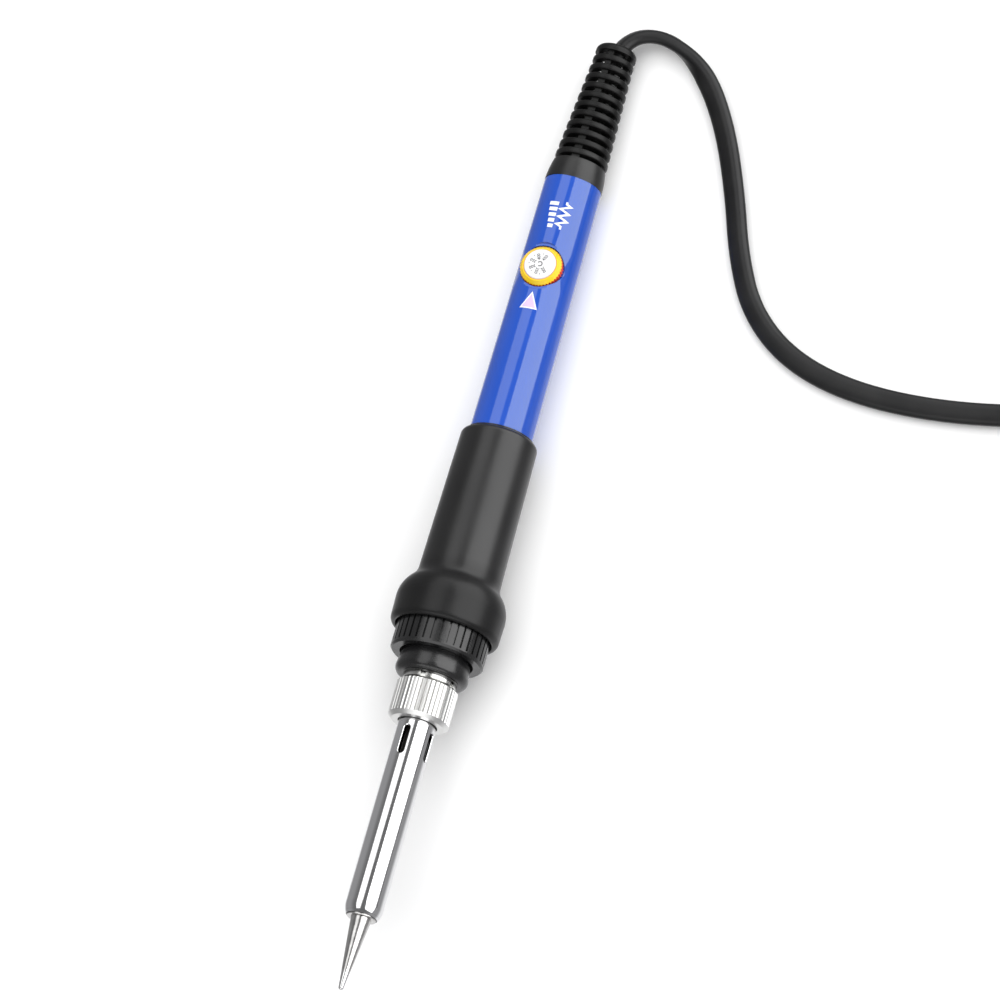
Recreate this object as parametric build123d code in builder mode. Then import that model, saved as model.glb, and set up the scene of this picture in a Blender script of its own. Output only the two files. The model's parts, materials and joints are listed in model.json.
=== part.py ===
from build123d import *

import os
from math import asin, atan2, cos, degrees, hypot, pi, radians, sin, tan

# A temperature-controlled soldering iron that lies on a bench, with its mains lead and plug.
# Millimetres. The bench is z = 0 and the origin is under the middle of the iron. The tip points
# to -Y, the cord leaves at +Y and the temperature knob faces up. The iron's own pieces are
# placed by their distance from the tip's point along the iron's axis, called "from tip".

# --- Driving dimensions -----------------------------------------------------------------------

# Tip: a conical bit whose hollow shank slides over the heater.
TIP_NOSE_R = 0.58
CONE_LENGTH = 16.33
CONE_BASE_R = 2.26
TIP_EDGE = 0.12
TIP_SHANK_R = 3.25
TIP_COLLAR_R = 3.6
TIP_COLLAR = (17.9, 18.9)
TIP_BORE_R = 2.1
TIP_BORE_START = 20.0
TIP_END = 42.0

# Barrel: the steel sleeve that holds the tip by its collar.
BARREL_R = 4.15
BARREL_BORE_R = 3.65
BARREL_FRONT = 16.63
BARREL_END = 63.5
LIP_R = 3.45
LIP_HOLE_R = 3.4
LIP_THICKNESS = 1.17
NOSE_LENGTH = 2.6
BARREL_SEAT_R = 3.95
BARREL_SEAT_START = 61.0
BARREL_FLANGE_R = 5.2
BARREL_FLANGE_THICKNESS = 0.8
VENT_LENGTH = 6.5
VENT_WIDTH = 1.5
VENT_MIDDLE = 56.4
VENT_AZIMUTHS = (-9.5, 80.5, 170.5, 260.5)
VENT_EDGE = 0.2

# Knurled nut, which clamps the barrel's flange to the threaded ferrule.
NUT_R = 6.72
NUT_FRONT = 61.4
NUT_END = 70.1
NUT_HOLE_R = 4.4
NUT_BORE_R = 5.45
NUT_FLUTES = 42
FLUTE_SIDE = 0.42
FLUTE_START = 62.2

# Ferrule, nipple and ribbed locking ring: the fixed front end of the handle.
FERRULE_THREAD_R = 5.4
FERRULE_FRONT = 63.7
FERRULE_FLANGE_R = 5.9
FERRULE_FLANGE = (70.5, 73.4)
FERRULE_TAIL_R = 5.0
FERRULE_END = 81.0
FERRULE_BORE_R = 3.45
THREAD_PITCH = 1.0
THREAD_DEPTH = 0.35
THREAD_TURNS = 6
KEYWAYS = 5
KEYWAY_WIDTH = 1.2
KEYWAY_LENGTH = 1.6
NIPPLE_FRONT = 71.56
NIPPLE_RIM_R = 6.41
NIPPLE_R = 8.05
NIPPLE_NOSE_END = 73.1
NIPPLE_BAND_R = 7.65
NIPPLE_BAND_START = 76.4
NIPPLE_LIP_END = 73.3
NIPPLE_FLANGE_R = 8.9
NIPPLE_TAIL_R = 7.4
NIPPLE_TAIL_END = 84.0
RING_R = 10.26
RING_FRONT = 76.6
RING_WALL = 1.4
RING_END = 86.2
RING_RIBS = 38
RIB_GROOVE = 0.5
RIB_START = 77.4
RING_CHAMFER = 0.45
FIT = 0.05

# Rubber grip, which flares out over the locking ring.
GRIP_MOUTH = 82.35
GRIP_MOUTH_R = 11.92
FLARE_R = 12.12
FLARE_AT = 88.2
SHOULDER_ARC = 9.0
NECK_AT = 94.0
NECK_BLEND = 4.0
NECK_R = 9.13
GRIP_END = 129.4
GRIP_END_R = 8.52
GRIP_END_ROUND = 1.7
GRIP_LIP_R = 7.5
GRIP_LIP_HEIGHT = 0.4

# Handle tube, with the well that the knob turns in.
TUBE_FRONT = 79.7
TUBE_COLLAR_END = 86.0
TUBE_FRONT_R = 7.41
TUBE_END = 189.84
TUBE_END_R = 6.39
TUBE_BORE_FRONT_R = 5.8
TUBE_BORE_END_R = 5.0
KNOB_AT = 167.8
WELL_R = 4.92
WELL_FLOOR = 4.2
WELL_STEP_R = 5.4
WELL_STEP = 6.1
WELL_RIM_R = 5.75
WELL_RIM = 6.8

# Knob, potentiometer and circuit board. Heights are from the iron's axis, towards the knob.
KNOB_R = 4.71
KNOB_FOOT = 4.6
KNOB_RIM = 6.0
KNOB_TOP = 7.0
KNOB_TEETH = 42
TOOTH_SIDE = 0.42
DIAL_R = 3.55
DIAL_SEAT = 6.5
DIAL_TOP = 7.3
SHAFT_R = 1.45
SHAFT_START = 0.5
POT_R = 4.2
POT_HEIGHT = 2.3

# Power controller on its board, and the ceramic heater with its leads.
BOARD_TOP = 0.2
BOARD_THICKNESS = 1.2
BOARD_WIDTH = 9.0
BOARD_SPAN = (138.0, 180.0)
RAIL_X = 4.75
RAIL_HEIGHT = 1.5
TRIAC_START = 152.0
TRIAC_LENGTH = 4.8
TRIAC_HALF_WIDTH = 2.4
TRIAC_HEIGHT = 4.0
CAPACITOR_AT = 157.0
CAPACITOR_SIZE = (5.0, 10.0, 3.2)
RESISTOR_FRONT_AT = 144.0
RESISTOR_REAR_AT = 148.0
RESISTOR_R = 0.95
RESISTOR_LENGTH = 3.8
DIAC_AT = 168.0
DIAC_R = 0.9
DIAC_LENGTH = 4.0
HEATER_R = 1.95
HEATER_END = 76.0
HEATER_COLLAR_START = 66.0
HEATER_COLLAR_LENGTH = 4.0
LEAD_X = 0.95
LEAD_R = 0.5
LEAD_SLEEVE_START = 78.0
LEAD_SLEEVE_LENGTH = 50.0
LEAD_SLEEVE_R = 2.8
LEAD_SLEEVE_BORE_R = 2.3
SOLDER_X = 2.3
WIRE_R = 0.6

# Strain relief: a tapered ladder of rings. It leans a little to the right of the axis.
RELIEF_LEAN = 1.9
RELIEF_BASE_R = 6.45
RELIEF_PLUG_R = 4.9
RELIEF_PLUG_START = 185.6
RELIEF_NECK_R = 5.89
RELIEF_SWELL_R = 6.29
RELIEF_SWELL_AT = 192.3
RELIEF_BORE_R = 2.6
RELIEF_MOUTH_R = 2.9
RELIEF_LADDER_START = 194.7
RING_PITCH = 2.376
RING_THICKNESS = 1.35
FIRST_RING_AT = 196.31
FIRST_RING_R = 5.93
LAST_RING_R = 4.6
RELIEF_RINGS = 11
BRIDGE_ARC = 20
BRIDGE_DEPTH = 0.75
RELIEF_CAP_START = 221.9
RELIEF_CAP_R = 4.58
RELIEF_CAP_ROUND = 1.25
RELIEF_END = 223.75
RELIEF_END_R = RELIEF_CAP_R - RELIEF_CAP_ROUND

# Mains lead: a flat twin cord, 4.9 by 3.0 mm. Its free length is a round tube of the same section.
CORD_WIDTH = 4.9
CORD_THICKNESS = 3.0
CORD_TUBE_R = 2.0
INNER_CORD_START = 183.0
CLAMP_START = 183.4
CLAMP_LENGTH = 2.0
CLAMP_R = 4.3
CORD_START = 219.5

# Coil of the lead's spare length, with its tie.
COIL_CENTRE = (152.0, 17.5)
COIL_INNER_R = 19.5
COIL_OUTER_R = 34.2
COIL_FOOT = 0.6
COIL_TOP = 10.9
TIE_THICKNESS = 0.6
TIE_ARC = 14

# Two-pin flat mains plug that lies beside the coil, with its pins towards -Y.
PLUG_X = 183.5
PLUG_RELIEF_START = -12.0
PLUG_RELIEF_LENGTH = 28.0
PLUG_RELIEF_R = (3.1, 5.2)
PLUG_RIBS = 6
PLUG_RIB_STEP = 4.0
PLUG_RIB_LENGTH = 1.8
PLUG_NECK = (14.0, 11.5)
PLUG_NECK_CORNER = 5.0
PLUG_FACE_CORNER = 6.0
PLUG_TAPER_LENGTH = 24.0
PLUG_FACE_LENGTH = 9.0
PLUG_FACE_WIDTH = 35.3
PLUG_FACE_HEIGHT = 13.7
PIN_SPACING = 19.0
PIN_R = 2.0
PIN_LENGTH = 19.0
PIN_ROUND = 1.4
PIN_CORE_R = 1.5
PIN_ROOT = 8.0
PIN_SLEEVE_LENGTH = 10.0
PIN_SLEEVE_R = 1.9
PIN_SLEEVE_END_R = 1.8

# --- The iron's place on the bench ------------------------------------------------------------

# The iron rests on the flare's shoulder arc and on the rear edge of the tube, so it lies at the
# slope of the line that touches both.
span = TUBE_END - FLARE_AT
drop = TUBE_END_R - FLARE_R + SHOULDER_ARC
SLOPE = asin(SHOULDER_ARC / hypot(span, drop)) - atan2(drop, span)

ALONG = Vector(0, cos(SLOPE), -sin(SLOPE))
KNOB_WAY = Vector(0, sin(SLOPE), cos(SLOPE))
TIP_POINT = Vector(
    0,
    -(RELIEF_END * cos(SLOPE) + RELIEF_END_R * sin(SLOPE)) / 2,
    TUBE_END * sin(SLOPE) + TUBE_END_R * cos(SLOPE),
)
AXIS = Axis(TIP_POINT, ALONG)
PROFILE = Plane(origin=TIP_POINT, x_dir=(1, 0, 0), z_dir=KNOB_WAY)


def place(x, from_tip, height=0.0):
    """A point of the iron: x to the right, and height towards the knob."""
    return TIP_POINT + ALONG * from_tip + KNOB_WAY * height + Vector(x, 0, 0)


def section(from_tip):
    """The plane across the iron. Its sketches have +y away from the knob."""
    return Plane(origin=place(0, from_tip), x_dir=(1, 0, 0), z_dir=ALONG)


def facing_knob(from_tip, height):
    """The plane parallel to the knob's face. Its sketches have +y towards the cord."""
    return Plane(origin=place(0, from_tip, height), x_dir=(1, 0, 0), z_dir=KNOB_WAY)


def tube_bore(from_tip):
    """The radius of the handle tube's inside."""
    share = (from_tip - TUBE_FRONT) / (TUBE_END - TUBE_FRONT)
    return TUBE_BORE_FRONT_R + share * (TUBE_BORE_END_R - TUBE_BORE_FRONT_R)


def tube_outside(from_tip):
    """The radius of the handle tube's outside, behind its collar."""
    share = (from_tip - TUBE_COLLAR_END) / (TUBE_END - TUBE_COLLAR_END)
    return TUBE_FRONT_R + share * (TUBE_END_R - TUBE_FRONT_R)


def start_of(path):
    """The plane across a path at its start."""
    return Plane(origin=path @ 0, z_dir=path % 0)


def arc_radii(points):
    """The radius at each corner of a route that uses 0.45 of the shorter run beside it."""
    runs = [Vector(*b) - Vector(*a) for a, b in zip(points, points[1:])]
    radii = []
    for before, after in zip(runs, runs[1:]):
        half_turn = radians(before.get_angle(after)) / 2
        radii.append(0.45 * min(before.length, after.length) / tan(half_turn))
    return radii


pieces = []

# --- Front end --------------------------------------------------------------------------------

with BuildPart() as tip:
    with BuildSketch(PROFILE):
        with BuildLine():
            nose = ThreePointArc((0, 0), (0.42, 0.17), (TIP_NOSE_R, 0.6))
            Polyline(
                nose @ 1,
                (CONE_BASE_R, CONE_LENGTH),
                (TIP_SHANK_R - TIP_EDGE, CONE_LENGTH),
                (TIP_SHANK_R, CONE_LENGTH + TIP_EDGE),
                (TIP_SHANK_R, TIP_COLLAR[0]),
                (TIP_COLLAR_R, TIP_COLLAR[0]),
                (TIP_COLLAR_R, TIP_COLLAR[1]),
                (TIP_SHANK_R, TIP_COLLAR[1]),
                (TIP_SHANK_R, TIP_END),
                (TIP_BORE_R, TIP_END),
                (TIP_BORE_R, TIP_BORE_START),
                (0, TIP_BORE_START - 1.2),
                (0, 0),
            )
        make_face()
    revolve(axis=AXIS)
tip.part.label = "tip"
pieces.append(tip.part)

with BuildPart() as barrel:
    with BuildSketch(PROFILE):
        with BuildLine():
            nose = TangentArc(
                (BARREL_R, BARREL_FRONT + NOSE_LENGTH), (LIP_R, BARREL_FRONT), tangent=(0, -1)
            )
            Polyline(
                nose @ 1,
                (LIP_HOLE_R, BARREL_FRONT),
                (LIP_HOLE_R, BARREL_FRONT + LIP_THICKNESS),
                (BARREL_BORE_R, BARREL_FRONT + LIP_THICKNESS),
                (BARREL_BORE_R, BARREL_END),
                (BARREL_FLANGE_R, BARREL_END),
                (BARREL_FLANGE_R, BARREL_END - BARREL_FLANGE_THICKNESS),
                (BARREL_SEAT_R, BARREL_END - BARREL_FLANGE_THICKNESS),
                (BARREL_SEAT_R, BARREL_SEAT_START),
                (BARREL_R, BARREL_SEAT_START),
                nose @ 0,
            )
        make_face()
    revolve(axis=AXIS)
    for azimuth in VENT_AZIMUTHS:
        outward = Vector(sin(radians(azimuth)), 0, 0) + KNOB_WAY * cos(radians(azimuth))
        with BuildSketch(Plane(origin=place(0, VENT_MIDDLE), x_dir=ALONG, z_dir=outward)):
            SlotOverall(VENT_LENGTH, VENT_WIDTH)
        extrude(amount=BARREL_R + 1, mode=Mode.SUBTRACT)
        edge = place(0, VENT_MIDDLE) + outward * (BARREL_R - VENT_EDGE)
        with BuildSketch(Plane(origin=edge, x_dir=ALONG, z_dir=outward)):
            SlotOverall(VENT_LENGTH, VENT_WIDTH)
        extrude(amount=2 * VENT_EDGE, taper=-45, mode=Mode.SUBTRACT)
barrel.part.label = "barrel"
pieces.append(barrel.part)

with BuildPart() as knurled_nut:
    with BuildSketch(PROFILE):
        Polygon(
            (NUT_HOLE_R, NUT_FRONT),
            (NUT_R - 0.9, NUT_FRONT),
            (NUT_R, NUT_FRONT + 0.8),
            (NUT_R, NUT_END - 0.4),
            (NUT_R - 0.4, NUT_END),
            (NUT_BORE_R, NUT_END),
            (NUT_BORE_R, NUT_FRONT + 1.2),
            (NUT_HOLE_R, NUT_FRONT + 1.2),
            align=None,
        )
    revolve(axis=AXIS)
    with BuildSketch(section(FLUTE_START)):
        with PolarLocations(NUT_R + 0.05, NUT_FLUTES):
            Rectangle(FLUTE_SIDE, FLUTE_SIDE, rotation=45)
    extrude(amount=NUT_END - FLUTE_START, mode=Mode.SUBTRACT)
knurled_nut.part.label = "knurled_nut"
pieces.append(knurled_nut.part)

with BuildPart() as threaded_ferrule:
    with BuildSketch(PROFILE):
        Polygon(
            (FERRULE_BORE_R, FERRULE_FRONT),
            (FERRULE_THREAD_R - THREAD_DEPTH, FERRULE_FRONT),
            (FERRULE_THREAD_R - THREAD_DEPTH, FERRULE_FLANGE[0]),
            (FERRULE_FLANGE_R, FERRULE_FLANGE[0]),
            (FERRULE_FLANGE_R, FERRULE_FLANGE[1]),
            (FERRULE_TAIL_R, FERRULE_FLANGE[1]),
            (FERRULE_TAIL_R, FERRULE_END),
            (FERRULE_BORE_R, FERRULE_END),
            align=None,
        )
        for turn in range(THREAD_TURNS):
            crest = FERRULE_FRONT + THREAD_PITCH * (turn + 0.6)
            Polygon(
                (FERRULE_THREAD_R - THREAD_DEPTH - 0.1, crest - 0.5 * THREAD_PITCH),
                (FERRULE_THREAD_R, crest - 0.1 * THREAD_PITCH),
                (FERRULE_THREAD_R, crest + 0.1 * THREAD_PITCH),
                (FERRULE_THREAD_R - THREAD_DEPTH - 0.1, crest + 0.5 * THREAD_PITCH),
                align=None,
            )
    revolve(axis=AXIS)
    with BuildSketch(section(FERRULE_FLANGE[0])):
        with PolarLocations(FERRULE_FLANGE_R, KEYWAYS, start_angle=-90):
            Rectangle(1.0, KEYWAY_WIDTH)
    extrude(amount=KEYWAY_LENGTH, mode=Mode.SUBTRACT)
threaded_ferrule.part.label = "threaded_ferrule"
pieces.append(threaded_ferrule.part)

with BuildPart() as nipple:
    with BuildSketch(PROFILE):
        with BuildLine():
            nose = TangentArc(
                (NIPPLE_R, NIPPLE_NOSE_END), (NIPPLE_RIM_R, NIPPLE_FRONT), tangent=(0, -1)
            )
            Polyline(
                nose @ 1,
                (FERRULE_FLANGE_R + FIT, NIPPLE_FRONT),
                (FERRULE_FLANGE_R + FIT, FERRULE_FLANGE[1] + 2 * FIT),
                (FERRULE_TAIL_R + FIT, FERRULE_FLANGE[1] + 2 * FIT),
                (FERRULE_TAIL_R + FIT, NIPPLE_TAIL_END),
                (NIPPLE_TAIL_R, NIPPLE_TAIL_END),
                (NIPPLE_TAIL_R, TUBE_FRONT - 2 * FIT),
                (NIPPLE_FLANGE_R, TUBE_FRONT - 2 * FIT),
                (NIPPLE_FLANGE_R, RING_FRONT + RING_WALL + 2 * FIT),
                (NIPPLE_BAND_R, RING_FRONT + RING_WALL + 2 * FIT),
                (NIPPLE_BAND_R, NIPPLE_BAND_START),
                (NIPPLE_R, NIPPLE_LIP_END),
                nose @ 0,
            )
        make_face()
    revolve(axis=AXIS)
nipple.part.label = "nipple"
pieces.append(nipple.part)

with BuildPart() as locking_ring:
    with BuildSketch(PROFILE):
        Polygon(
            (NIPPLE_R + 2 * FIT, RING_FRONT),
            (RING_R - RING_CHAMFER, RING_FRONT),
            (RING_R, RING_FRONT + RING_CHAMFER),
            (RING_R, RING_END),
            (NIPPLE_FLANGE_R + 2 * FIT, RING_END),
            (NIPPLE_FLANGE_R + 2 * FIT, RING_FRONT + RING_WALL),
            (NIPPLE_R + 2 * FIT, RING_FRONT + RING_WALL),
            align=None,
        )
    revolve(axis=AXIS)
    with BuildSketch(section(RIB_START)):
        with PolarLocations(RING_R, RING_RIBS):
            Rectangle(2 * RIB_GROOVE, RIB_GROOVE)
    extrude(amount=RING_END - RIB_START - 1, mode=Mode.SUBTRACT)
locking_ring.part.label = "locking_ring"
pieces.append(locking_ring.part)

# --- Handle -----------------------------------------------------------------------------------

with BuildPart() as grip_sleeve:
    with BuildSketch(PROFILE):
        with BuildLine():
            mouth = TangentArc(
                (GRIP_MOUTH_R + 0.08, GRIP_MOUTH + 1.4), (GRIP_MOUTH_R - 0.8, GRIP_MOUTH),
                tangent=(0, -1),
            )
            side = Line(mouth @ 0, (FLARE_R, FLARE_AT))
            shoulder = TangentArc(side @ 1, (NECK_R, NECK_AT), tangent=(0, 1))
            neck = Line(shoulder @ 1, (GRIP_END_R, GRIP_END - GRIP_END_ROUND))
            back = TangentArc(
                neck @ 1, (GRIP_LIP_R, GRIP_END - GRIP_LIP_HEIGHT), tangent=neck % 1
            )
            Polyline(
                back @ 1,
                (GRIP_LIP_R, GRIP_END - 0.15),
                (GRIP_LIP_R - 0.15, GRIP_END),
                (tube_outside(GRIP_END) + FIT, GRIP_END),
                (TUBE_FRONT_R + FIT, RING_END + 1.2),
                (RING_R + 0.2, RING_END + 1.2),
                (RING_R + 0.2, GRIP_MOUTH + 0.5),
                (RING_R + 0.5, GRIP_MOUTH),
                mouth @ 1,
            )
        make_face()
        fillet(vertices().sort_by_distance((NECK_R, NECK_AT))[0], NECK_BLEND)
    revolve(axis=AXIS)
grip_sleeve.part.label = "grip_sleeve"
pieces.append(grip_sleeve.part)

KNOB_CENTRE = place(0, KNOB_AT)
KNOB_AXIS = Axis(KNOB_CENTRE, KNOB_WAY)
KNOB_PROFILE = Plane(origin=KNOB_CENTRE, x_dir=(1, 0, 0), z_dir=-ALONG)

with BuildPart() as handle_tube:
    with BuildSketch(PROFILE):
        Polygon(
            (NIPPLE_TAIL_R + 2 * FIT, TUBE_FRONT),
            (NIPPLE_FLANGE_R, TUBE_FRONT),
            (NIPPLE_FLANGE_R, TUBE_COLLAR_END),
            (TUBE_FRONT_R, TUBE_COLLAR_END),
            (TUBE_END_R, TUBE_END),
            (TUBE_BORE_END_R, TUBE_END),
            (tube_bore(NIPPLE_TAIL_END), NIPPLE_TAIL_END + 0.2),
            (NIPPLE_TAIL_R + 2 * FIT, NIPPLE_TAIL_END + 0.2),
            align=None,
        )
    revolve(axis=AXIS)
    with BuildSketch(section(BOARD_SPAN[0] + 2)):
        with Locations((-RAIL_X, RAIL_HEIGHT), (RAIL_X, RAIL_HEIGHT)):
            Rectangle(0.9, 1.0)
    extrude(amount=BOARD_SPAN[1] - BOARD_SPAN[0] - 4)
    with BuildSketch(KNOB_PROFILE):
        Polygon(
            (0, WELL_FLOOR),
            (WELL_R, WELL_FLOOR),
            (WELL_R, WELL_STEP),
            (WELL_STEP_R, WELL_STEP),
            (WELL_RIM_R, WELL_RIM),
            (WELL_RIM_R, TUBE_FRONT_R),
            (0, TUBE_FRONT_R),
            align=None,
        )
    revolve(axis=KNOB_AXIS, mode=Mode.SUBTRACT)
handle_tube.part.label = "handle_tube"
pieces.append(handle_tube.part)

# --- Knob -------------------------------------------------------------------------------------

with BuildPart() as temperature_knob:
    with BuildSketch(KNOB_PROFILE):
        Polygon(
            (SHAFT_R + 0.01, KNOB_FOOT),
            (KNOB_R, KNOB_FOOT),
            (KNOB_R, KNOB_RIM),
            (DIAL_R + 0.35, KNOB_TOP),
            (DIAL_R + FIT, KNOB_TOP),
            (DIAL_R + FIT, DIAL_SEAT),
            (0, DIAL_SEAT),
            (0, DIAL_SEAT - 0.4),
            (SHAFT_R + 0.01, DIAL_SEAT - 0.4),
            align=None,
        )
    revolve(axis=KNOB_AXIS)
    with BuildSketch(facing_knob(KNOB_AT, KNOB_FOOT)):
        with PolarLocations(KNOB_R + 0.03, KNOB_TEETH):
            Rectangle(TOOTH_SIDE, TOOTH_SIDE, rotation=45)
    extrude(amount=KNOB_RIM - KNOB_FOOT + 0.2, mode=Mode.SUBTRACT)
temperature_knob.part.label = "temperature_knob"
pieces.append(temperature_knob.part)

with BuildPart() as dial_cap:
    with BuildSketch(KNOB_PROFILE):
        Polygon(
            (0, DIAL_SEAT),
            (DIAL_R, DIAL_SEAT),
            (DIAL_R, DIAL_TOP - 0.2),
            (DIAL_R - 0.2, DIAL_TOP),
            (0, DIAL_TOP),
            align=None,
        )
    revolve(axis=KNOB_AXIS)
dial_cap.part.label = "dial_cap"
pieces.append(dial_cap.part)

with BuildPart() as pot_shaft:
    with BuildSketch(facing_knob(KNOB_AT, SHAFT_START)):
        Circle(SHAFT_R)
    extrude(amount=DIAL_SEAT - 0.5 - SHAFT_START)
pot_shaft.part.label = "pot_shaft"
pieces.append(pot_shaft.part)

# --- Inside the handle ------------------------------------------------------------------------

with BuildPart() as pot_body:
    with BuildSketch(facing_knob(KNOB_AT, BOARD_TOP)):
        Circle(POT_R)
        Circle(SHAFT_R + FIT, mode=Mode.SUBTRACT)
    extrude(amount=POT_HEIGHT)
pot_body.part.label = "pot_body"
pieces.append(pot_body.part)

with BuildPart() as circuit_board:
    with BuildSketch(facing_knob((BOARD_SPAN[0] + BOARD_SPAN[1]) / 2, BOARD_TOP)):
        RectangleRounded(BOARD_WIDTH, BOARD_SPAN[1] - BOARD_SPAN[0], 0.8)
    extrude(amount=-BOARD_THICKNESS)
circuit_board.part.label = "circuit_board"
pieces.append(circuit_board.part)

with BuildPart() as triac:
    with BuildSketch(section(TRIAC_START)):
        with BuildLine():
            back = ThreePointArc(
                (-TRIAC_HALF_WIDTH, -BOARD_TOP), (0, -TRIAC_HEIGHT), (TRIAC_HALF_WIDTH, -BOARD_TOP)
            )
            Line(back @ 1, back @ 0)
        make_face()
    extrude(amount=TRIAC_LENGTH)
triac.part.label = "triac"
pieces.append(triac.part)

with BuildPart() as capacitor:
    with BuildSketch(facing_knob(CAPACITOR_AT, BOARD_TOP - BOARD_THICKNESS)):
        RectangleRounded(CAPACITOR_SIZE[0], CAPACITOR_SIZE[1], 0.8)
    extrude(amount=-CAPACITOR_SIZE[2])
capacitor.part.label = "capacitor"
pieces.append(capacitor.part)

for name, from_tip in (("resistor_front", RESISTOR_FRONT_AT), ("resistor_rear", RESISTOR_REAR_AT)):
    with BuildPart() as resistor:
        with BuildSketch(
            Plane(
                origin=place(-RESISTOR_LENGTH / 2, from_tip, BOARD_TOP + RESISTOR_R),
                z_dir=(1, 0, 0),
            )
        ):
            Circle(RESISTOR_R)
        extrude(amount=RESISTOR_LENGTH)
    resistor.part.label = name
    pieces.append(resistor.part)

with BuildPart() as diac:
    with BuildSketch(
        Plane(
            origin=place(-DIAC_LENGTH / 2, DIAC_AT, BOARD_TOP - BOARD_THICKNESS - DIAC_R),
            z_dir=(1, 0, 0),
        )
    ):
        Circle(DIAC_R)
    extrude(amount=DIAC_LENGTH)
diac.part.label = "diac"
pieces.append(diac.part)

with BuildPart() as heater_rod:
    with BuildSketch(PROFILE):
        Polygon(
            (0, TIP_BORE_START + 1.0),
            (HEATER_R - 0.4, TIP_BORE_START + 1.0),
            (HEATER_R, TIP_BORE_START + 1.4),
            (HEATER_R, HEATER_END),
            (0, HEATER_END),
            align=None,
        )
    revolve(axis=AXIS)
heater_rod.part.label = "heater_rod"
pieces.append(heater_rod.part)

with BuildPart() as heater_collar:
    with BuildSketch(section(HEATER_COLLAR_START)):
        Circle(FERRULE_BORE_R - FIT)
        Circle(HEATER_R, mode=Mode.SUBTRACT)
    extrude(amount=HEATER_COLLAR_LENGTH)
heater_collar.part.label = "heater_collar"
pieces.append(heater_collar.part)

for name, side in (("heater_lead_left", -1), ("heater_lead_right", 1)):
    with BuildPart() as heater_lead:
        with BuildLine() as lead_path:
            FilletPolyline(
                place(side * LEAD_X, HEATER_END),
                place(side * LEAD_X, BOARD_SPAN[0] - 8.0),
                place(side * SOLDER_X, BOARD_SPAN[0] - 2.0, BOARD_TOP + LEAD_R),
                place(side * SOLDER_X, BOARD_SPAN[0] + 3.5, BOARD_TOP + LEAD_R),
                radius=4,
            )
        with BuildSketch(start_of(lead_path.wire())):
            Circle(LEAD_R)
        sweep(path=lead_path.wire())
    heater_lead.part.label = name
    pieces.append(heater_lead.part)

with BuildPart() as lead_sleeve:
    with BuildSketch(section(LEAD_SLEEVE_START)):
        Circle(LEAD_SLEEVE_R)
        Circle(LEAD_SLEEVE_BORE_R, mode=Mode.SUBTRACT)
    extrude(amount=LEAD_SLEEVE_LENGTH)
lead_sleeve.part.label = "lead_sleeve"
pieces.append(lead_sleeve.part)

# --- Strain relief and the cord inside it -----------------------------------------------------

RELIEF_WAY = ALONG * cos(radians(RELIEF_LEAN)) + Vector(sin(radians(RELIEF_LEAN)), 0, 0)
RELIEF_RIGHT = Vector(cos(radians(RELIEF_LEAN)), 0, 0) - ALONG * sin(radians(RELIEF_LEAN))
RELIEF_BASE = place(0, TUBE_END)
RELIEF_AXIS = Axis(RELIEF_BASE, RELIEF_WAY)


def in_relief(from_tip):
    """A point on the leaning axis of the strain relief."""
    return RELIEF_BASE + RELIEF_WAY * (from_tip - TUBE_END)


def relief_section(from_tip):
    """The plane across the strain relief."""
    return Plane(origin=in_relief(from_tip), x_dir=RELIEF_RIGHT, z_dir=RELIEF_WAY)


def relief_profile(azimuth):
    """A half-plane of the relief: x is the radius and y is from the tip."""
    outward = RELIEF_RIGHT * cos(radians(azimuth)) + KNOB_WAY * sin(radians(azimuth))
    return Plane(origin=in_relief(0), x_dir=outward, z_dir=outward.cross(RELIEF_WAY))


with BuildPart() as strain_relief:
    with BuildSketch(relief_profile(0)):
        with BuildLine():
            swell = ThreePointArc(
                (RELIEF_BASE_R, TUBE_END),
                (RELIEF_SWELL_R, RELIEF_SWELL_AT),
                (RELIEF_NECK_R, RELIEF_LADDER_START),
            )
            Polyline(
                swell @ 1,
                (RELIEF_BORE_R, RELIEF_LADDER_START),
                (RELIEF_BORE_R, RELIEF_PLUG_START),
                (RELIEF_PLUG_R, RELIEF_PLUG_START),
                (RELIEF_PLUG_R, TUBE_END),
                swell @ 0,
            )
        make_face()
        with BuildLine():
            cap = TangentArc(
                (RELIEF_CAP_R, RELIEF_END - RELIEF_CAP_ROUND),
                (RELIEF_END_R, RELIEF_END),
                tangent=(0, 1),
            )
            Polyline(
                cap @ 1,
                (RELIEF_MOUTH_R, RELIEF_END),
                (RELIEF_MOUTH_R, RELIEF_CAP_START),
                (RELIEF_CAP_R, RELIEF_CAP_START),
                cap @ 0,
            )
        make_face()
        for ring in range(RELIEF_RINGS):
            ring_r = FIRST_RING_R + ring * (LAST_RING_R - FIRST_RING_R) / (RELIEF_RINGS - 1)
            with Locations(((RELIEF_BORE_R + ring_r) / 2, FIRST_RING_AT + ring * RING_PITCH)):
                RectangleRounded(ring_r - RELIEF_BORE_R, RING_THICKNESS, 0.4)
    revolve(axis=RELIEF_AXIS)
    for azimuth in range(0, 360, 90):
        with BuildSketch(relief_profile(azimuth - BRIDGE_ARC / 2)):
            Polygon(
                (RELIEF_BORE_R, RELIEF_LADDER_START - 0.5),
                (FIRST_RING_R - BRIDGE_DEPTH, RELIEF_LADDER_START - 0.5),
                (LAST_RING_R - BRIDGE_DEPTH, RELIEF_CAP_START + 0.3),
                (RELIEF_MOUTH_R + 0.1, RELIEF_CAP_START + 0.3),
                (RELIEF_MOUTH_R + 0.1, RELIEF_CAP_START - 1.3),
                (RELIEF_BORE_R, RELIEF_CAP_START - 1.3),
                align=None,
            )
        revolve(axis=RELIEF_AXIS, revolution_arc=-BRIDGE_ARC)
strain_relief.part.label = "strain_relief"
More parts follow.
